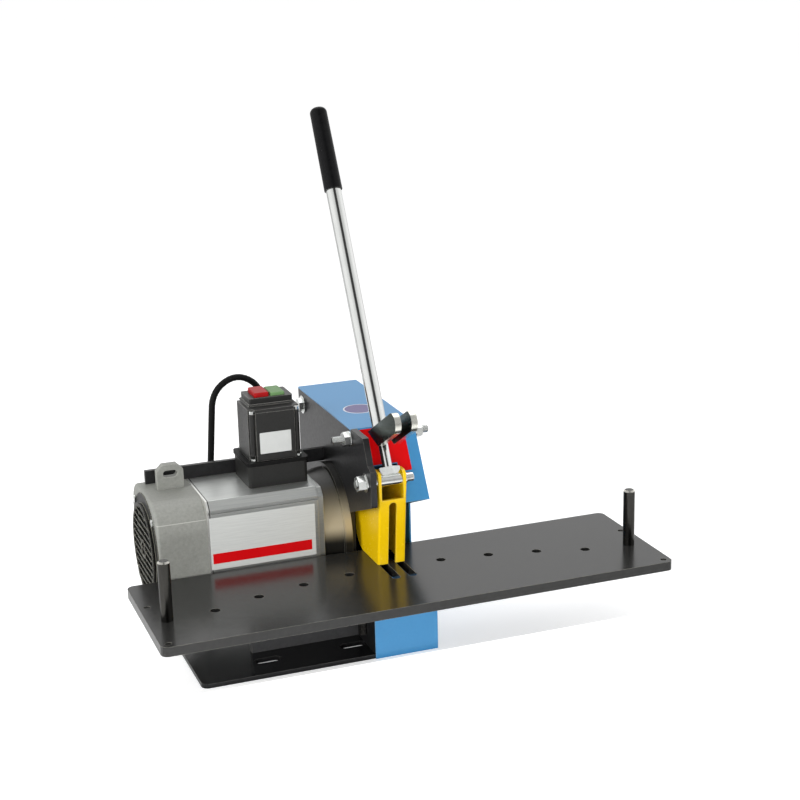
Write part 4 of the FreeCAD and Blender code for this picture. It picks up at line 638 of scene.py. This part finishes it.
def turn_profile(shape, outline, sides):
    """Turn a closed outline of (depth, radius) points round the drum's axis."""
    loops = []
    for depth, radius in outline:
        loops.append([shape.verts.new((grille_back - depth, grille_y + radius * math.cos(turn),
                                       grille_z + radius * math.sin(turn)))
                      for turn in [2 * math.pi * k / sides for k in range(sides)]])
    for one, two in zip(loops, loops[1:] + loops[:1]):
        for k in range(sides):
            j = (k + 1) % sides
            shape.faces.new((one[k], one[j], two[j], two[k]))


def long_bar(shape, start, end, across, half, front, back):
    """A bar between two places, flat behind and with its front edges cut off."""
    cut = half * 0.5
    ends = []
    for place in (start, end):
        ends.append([shape.verts.new((grille_back - depth, grille_y + place[0] + across[0] * shift,
                                      grille_z + place[1] + across[1] * shift))
                     for depth, shift in ((back, -half), (back, half), (front - cut, half),
                                          (front, half - cut), (front, cut - half),
                                          (front - cut, -half))])
    for k in range(6):
        j = (k + 1) % 6
        shape.faces.new((ends[0][k], ends[0][j], ends[1][j], ends[1][k]))
    shape.faces.new(ends[0])
    shape.faces.new(ends[1])


drum = bmesh.new()
inner = drum_radius - drum_wall
flange_inner = drum_radius - bar_seat
turn_profile(drum, [(0, drum_radius), (drum_depth - drum_edge, drum_radius),
                    (drum_depth - drum_facet, drum_radius - drum_facet),
                    (drum_depth, drum_radius - drum_edge), (drum_depth, inner + drum_edge),
                    (drum_depth - drum_facet, inner + drum_facet),
                    (drum_depth - drum_edge, inner), (0, inner)], drum_sides)
turn_profile(drum, [(0, flange_radius), (flange_thick - flange_cut, flange_radius),
                    (flange_thick, flange_radius - flange_cut), (flange_thick, flange_inner),
                    (0, flange_inner)], drum_sides)
turn_profile(drum, [(ring_back, ring_outer), (ring_front - ring_cut, ring_outer),
                    (ring_front, ring_outer - ring_cut), (ring_front, ring_inner + ring_cut),
                    (ring_front - ring_cut, ring_inner), (ring_back, ring_inner)], ring_sides)
bars_each_way = int(inner / bar_pitch)
for i in range(-bars_each_way, bars_each_way + 1):
    height = i * bar_pitch
    reach = math.sqrt((inner + bar_seat) ** 2 - height ** 2)
    long_bar(drum, (-reach, height), (reach, height), (0, 1), bar_half, bar_front, bar_back)
for offset in (-rib_pitch, 0, rib_pitch):
    reach = math.sqrt((inner + bar_seat) ** 2 - offset ** 2)
    long_bar(drum, (offset, -reach), (offset, reach), (1, 0), bar_half, rib_front, rib_back)
bmesh.ops.recalc_face_normals(drum, faces=drum.faces)
drum_mesh = bpy.data.meshes.new("fan_guard")
drum.to_mesh(drum_mesh)
drum.free()
drum_mesh.materials.append(grille_black)
fan_guard = bpy.data.objects.new("fan_guard", drum_mesh)
scene.collection.objects.link(fan_guard)
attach(fan_guard, "frame")
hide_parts("fan_grille")


# Switch box: the terminal box, the tall cover, the button block, the gland and the contact
# pieces are black glass-filled nylon with a fine spark texture.
# Its rounded edges are painted light through the edge mask, as the highlights they catch.
box_black = new_finish("box_black", shade(40, 40, 39), shade(33, 33, 32), shade(140, 139, 134),
                       0.34, stretch=(420, 420, 420), relief=0.2, edge=0.0012, breaks=0.1,
                       shine=0.35)
dress(box_black, "terminal_box", "switch_cover", "switch_block", "contact_block",
      "terminal_block", "cable_gland")


# Rubber: the frame between the two halves of the box, the sheath of the power lead and the
# mains plug, whose two pins are nickel-plated brass.
black_rubber = new_finish("black_rubber", shade(26, 26, 26), shade(18, 18, 18),
                          shade(60, 60, 58), 0.5, stretch=(300, 300, 300), relief=0.15,
                          edge=0.0005, breaks=0.2, shine=0.12)
dress(black_rubber, "box_gasket")
power_lead.data.materials.append(black_rubber)
plug_rubber = new_finish("plug_rubber", shade(28, 28, 28), shade(20, 20, 20),
                         shade(62, 62, 60), 0.46, stretch=(300, 300, 300), relief=0.15,
                         edge=0.0005, breaks=0.2, shine=0.2)
pin_mask = band(plug_rubber.node_tree, "X", 0.0568, 0.0800)
paint_over(plug_rubber, pin_mask, shade(206, 202, 188))
join(plug_rubber.node_tree, pin_mask, shader_of(plug_rubber).inputs["Metallic"])
dress(plug_rubber, "mains_plug")


# Strain relief: a ribbed sleeve of the same rubber, moulded on the power lead. It tapers from
# the gland's cap to the lead and sits 0.5 mm inside the cap.
relief_long = 0.024
relief_rings = 6
relief_sides = 32
relief_seat = 0.0005
ring_start = 0.003
ring_radius = 0.0071
ring_taper = 0.0021
groove_deep = 0.0009
profile = [(0, 0.0072), (0.002, 0.0074)]
for i in range(relief_rings):
    near = ring_start + (relief_long - 0.004) * i / relief_rings
    wide = ring_radius - ring_taper * i / relief_rings
    profile += [(near, wide - groove_deep), (near + 0.0008, wide - groove_deep),
                (near + 0.0014, wide), (near + 0.0026, wide)]
profile += [(relief_long, 0.0050), (relief_long, 0.0043)]
sleeve_mesh = bpy.data.meshes.new("strain_relief")
sleeve = bmesh.new()
loops = []
for along, radius in profile:
    loops.append([sleeve.verts.new((cable_route[0][0] + radius * math.cos(turn),
                                    cable_route[0][1] - relief_seat + along,
                                    cable_route[0][2] + radius * math.sin(turn)))
                  for turn in [2 * math.pi * k / relief_sides for k in range(relief_sides)]])
for one, two in zip(loops, loops[1:]):
    for k in range(relief_sides):
        j = (k + 1) % relief_sides
        sleeve.faces.new((one[k], one[j], two[j], two[k]))
bmesh.ops.recalc_face_normals(sleeve, faces=sleeve.faces)
for face in sleeve.faces:
    face.smooth = True
sleeve.to_mesh(sleeve_mesh)
sleeve.free()
sleeve_mesh.materials.append(black_rubber)
strain_relief = bpy.data.objects.new("strain_relief", sleeve_mesh)
scene.collection.objects.link(strain_relief)
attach(strain_relief, "frame")


# Blank label: a rectangle of white film with round corners, stuck on the front of the switch
# cover and left bare.
cover_face = 0.029
label_thick = 0.0003
film_white = new_finish("film_white", shade(208, 210, 208), shade(202, 204, 202),
                        shade(236, 236, 236), 0.45, stretch=(90, 90, 90), relief=0.03,
                        edge=0.0002)
thin_plate("blank_label", facing_front(-0.1385, -0.097, cover_face, 0.256, 0.284),
           label_thick, film_white, 0.0012)


# Push buttons: a red and a green one side by side, moulded in plastic and set in the button
# block. The red one stands proud of the green one.
button_red = new_finish("button_red", shade(166, 22, 24), shade(152, 16, 18),
                        shade(212, 120, 112), 0.36, stretch=(200, 200, 200), relief=0.05,
                        edge=0.001, breaks=0.0, shine=0.15)
dress(button_red, "red_button")
button_green = new_finish("button_green", shade(112, 148, 98), shade(100, 136, 88),
                          shade(196, 214, 186), 0.36, stretch=(200, 200, 200), relief=0.05,
                          edge=0.001, breaks=0.0, shine=0.15)
dress(button_green, "green_button")


# Knife: a round blade of polished tool steel, bevelled on both faces, held between two
# ground clamps by a blackened nut.
knife_steel = new_finish("knife_steel", shade(206, 208, 210), shade(186, 188, 191),
                         shade(240, 240, 240), 0.16, stretch=(300, 60, 60), metal=1.0,
                         relief=0.05, edge=0.0002)
dress(knife_steel, "blade")
dress(screw_black, "blade_nut")


# Lever pivot: a stepped zinc-plated pin through the side plate and the guard's cheeks, held
# by a nut and a washer on the left and by a clip on the right.
zinc_pivot = new_finish("zinc_pivot", shade(242, 244, 241), shade(222, 225, 222),
                        shade(244, 244, 240), 0.16, stretch=(160, 160, 160), metal=1.0,
                        relief=0.06, edge=0.0004)
add_thread(zinc_pivot, "X", 0.00175, (-0.0455, -0.0315))
dress(zinc_pivot, "pivot_shaft")
dress(zinc_plate, "pivot_nut", "pivot_washer", "pivot_clip", "lever_nut")


# Lever: a bright zinc-plated bar turned down at its foot, on a cross tube, with a black
# sleeve pushed over its top.
lever_zinc = new_finish("lever_zinc", shade(250, 251, 249), shade(238, 240, 238),
                        shade(254, 254, 252), 0.12, spread=0.03, stretch=(300, 60, 60),
                        relief=0.04, metal=1.0, edge=0.0004)
dress(lever_zinc, "lever_rod", "lever_hub")
grip_black = new_finish("grip_black", shade(18, 18, 19), shade(13, 13, 14), shade(50, 50, 50),
                        0.3, stretch=(200, 200, 200), relief=0.05, edge=0.0006, breaks=0.2,
                        shine=0.14)
dress(grip_black, "lever_grip")


# Fork: two round-ended steel plates beside the lever's neck, dark on their faces, with a
# bright painted highlight on their edges and ends.
# The plates' own colour is the dark one painted on their faces; the bright colour on their edges
# and ends is a painted highlight.
fork_plate = new_finish("fork_plate", shade(246, 246, 236), shade(226, 226, 218),
                        shade(238, 238, 232), 0.24, stretch=(200, 60, 60), metal=1.0,
                        relief=0.06, edge=0.0006, breaks=0.0)
tree = fork_plate.node_tree
fork_side = add_node(tree, "ShaderNodeTexCoord")
fork_split = add_node(tree, "ShaderNodeSeparateXYZ")
fork_flat = add_node(tree, "ShaderNodeMath", operation="ABSOLUTE")
fork_face = span(tree, 0.9, 0.97, 0, 1)
join(tree, fork_side.outputs["Normal"], fork_split.inputs[0])
join(tree, fork_split.outputs["X"], fork_flat.inputs[0])
join(tree, fork_flat.outputs[0], fork_face.inputs["Value"])
paint_over(fork_plate, fork_face.outputs["Result"], shade(100, 112, 105))
dress(fork_plate, "fork_left", "fork_right")


# Knife guard: a channel of bent steel sheet, slotted for the knife and powder coated in a
# glossy yellow. It hangs on the pivot in front of the knife.
yellow_coat = new_finish("yellow_coat", shade(246, 204, 10), shade(242, 198, 8),
                         shade(252, 230, 120), 0.26, spread=0.02, stretch=(240, 240, 240),
                         relief=0.03, edge=0.001, breaks=0.3, shine=0.4)
dress(yellow_coat, "blade_guard")


# Bare places on the hood: a plain red plate stuck on its slanted front, and a plain round
# badge of two films, a pale rim under a violet field, on its top.
hood_red = new_finish("hood_red", shade(222, 4, 10), shade(214, 2, 8), shade(230, 60, 60),
                      0.34, stretch=(80, 80, 80), relief=0.03, edge=0.0003, shine=0.15)
fold_y = -0.0166
fold_z = 0.288
slope = 0.0524 / 0.0896


def on_slant(x, z):
    """A place on the hood's slanted front."""
    return (x, fold_y - (fold_z - z) * slope, z)


thin_plate("red_plate",
           (on_slant(0.039, 0.286), on_slant(-0.020, 0.286), on_slant(-0.020, 0.2445),
            on_slant(0.0215, 0.2445), on_slant(0.0215, 0.234), on_slant(0.039, 0.234)),
           0.0004, hood_red, 0.0012)
badge_rim = new_finish("badge_rim", shade(228, 230, 238), shade(216, 218, 228),
                       shade(240, 240, 244), 0.35, stretch=(80, 80, 80), relief=0.02,
                       edge=0.0002)
badge_field = new_finish("badge_field", shade(98, 88, 138), shade(88, 78, 126),
                         shade(150, 144, 176), 0.35, stretch=(80, 80, 80), relief=0.02,
                         edge=0.0002)
for name, radius, foot, thick, finish in (
        ("badge_rim", 0.0215, 0.288, 0.0003, badge_rim),
        ("badge_field", 0.0195, 0.2883, 0.0002, badge_field)):
    round_plan = [(0.0095 + radius * math.cos(turn), 0.067 + radius * math.sin(turn), foot)
                  for turn in [2 * math.pi * k / 64 for k in range(64)]]
    thin_plate(name, round_plan, thick, finish, 0.0)
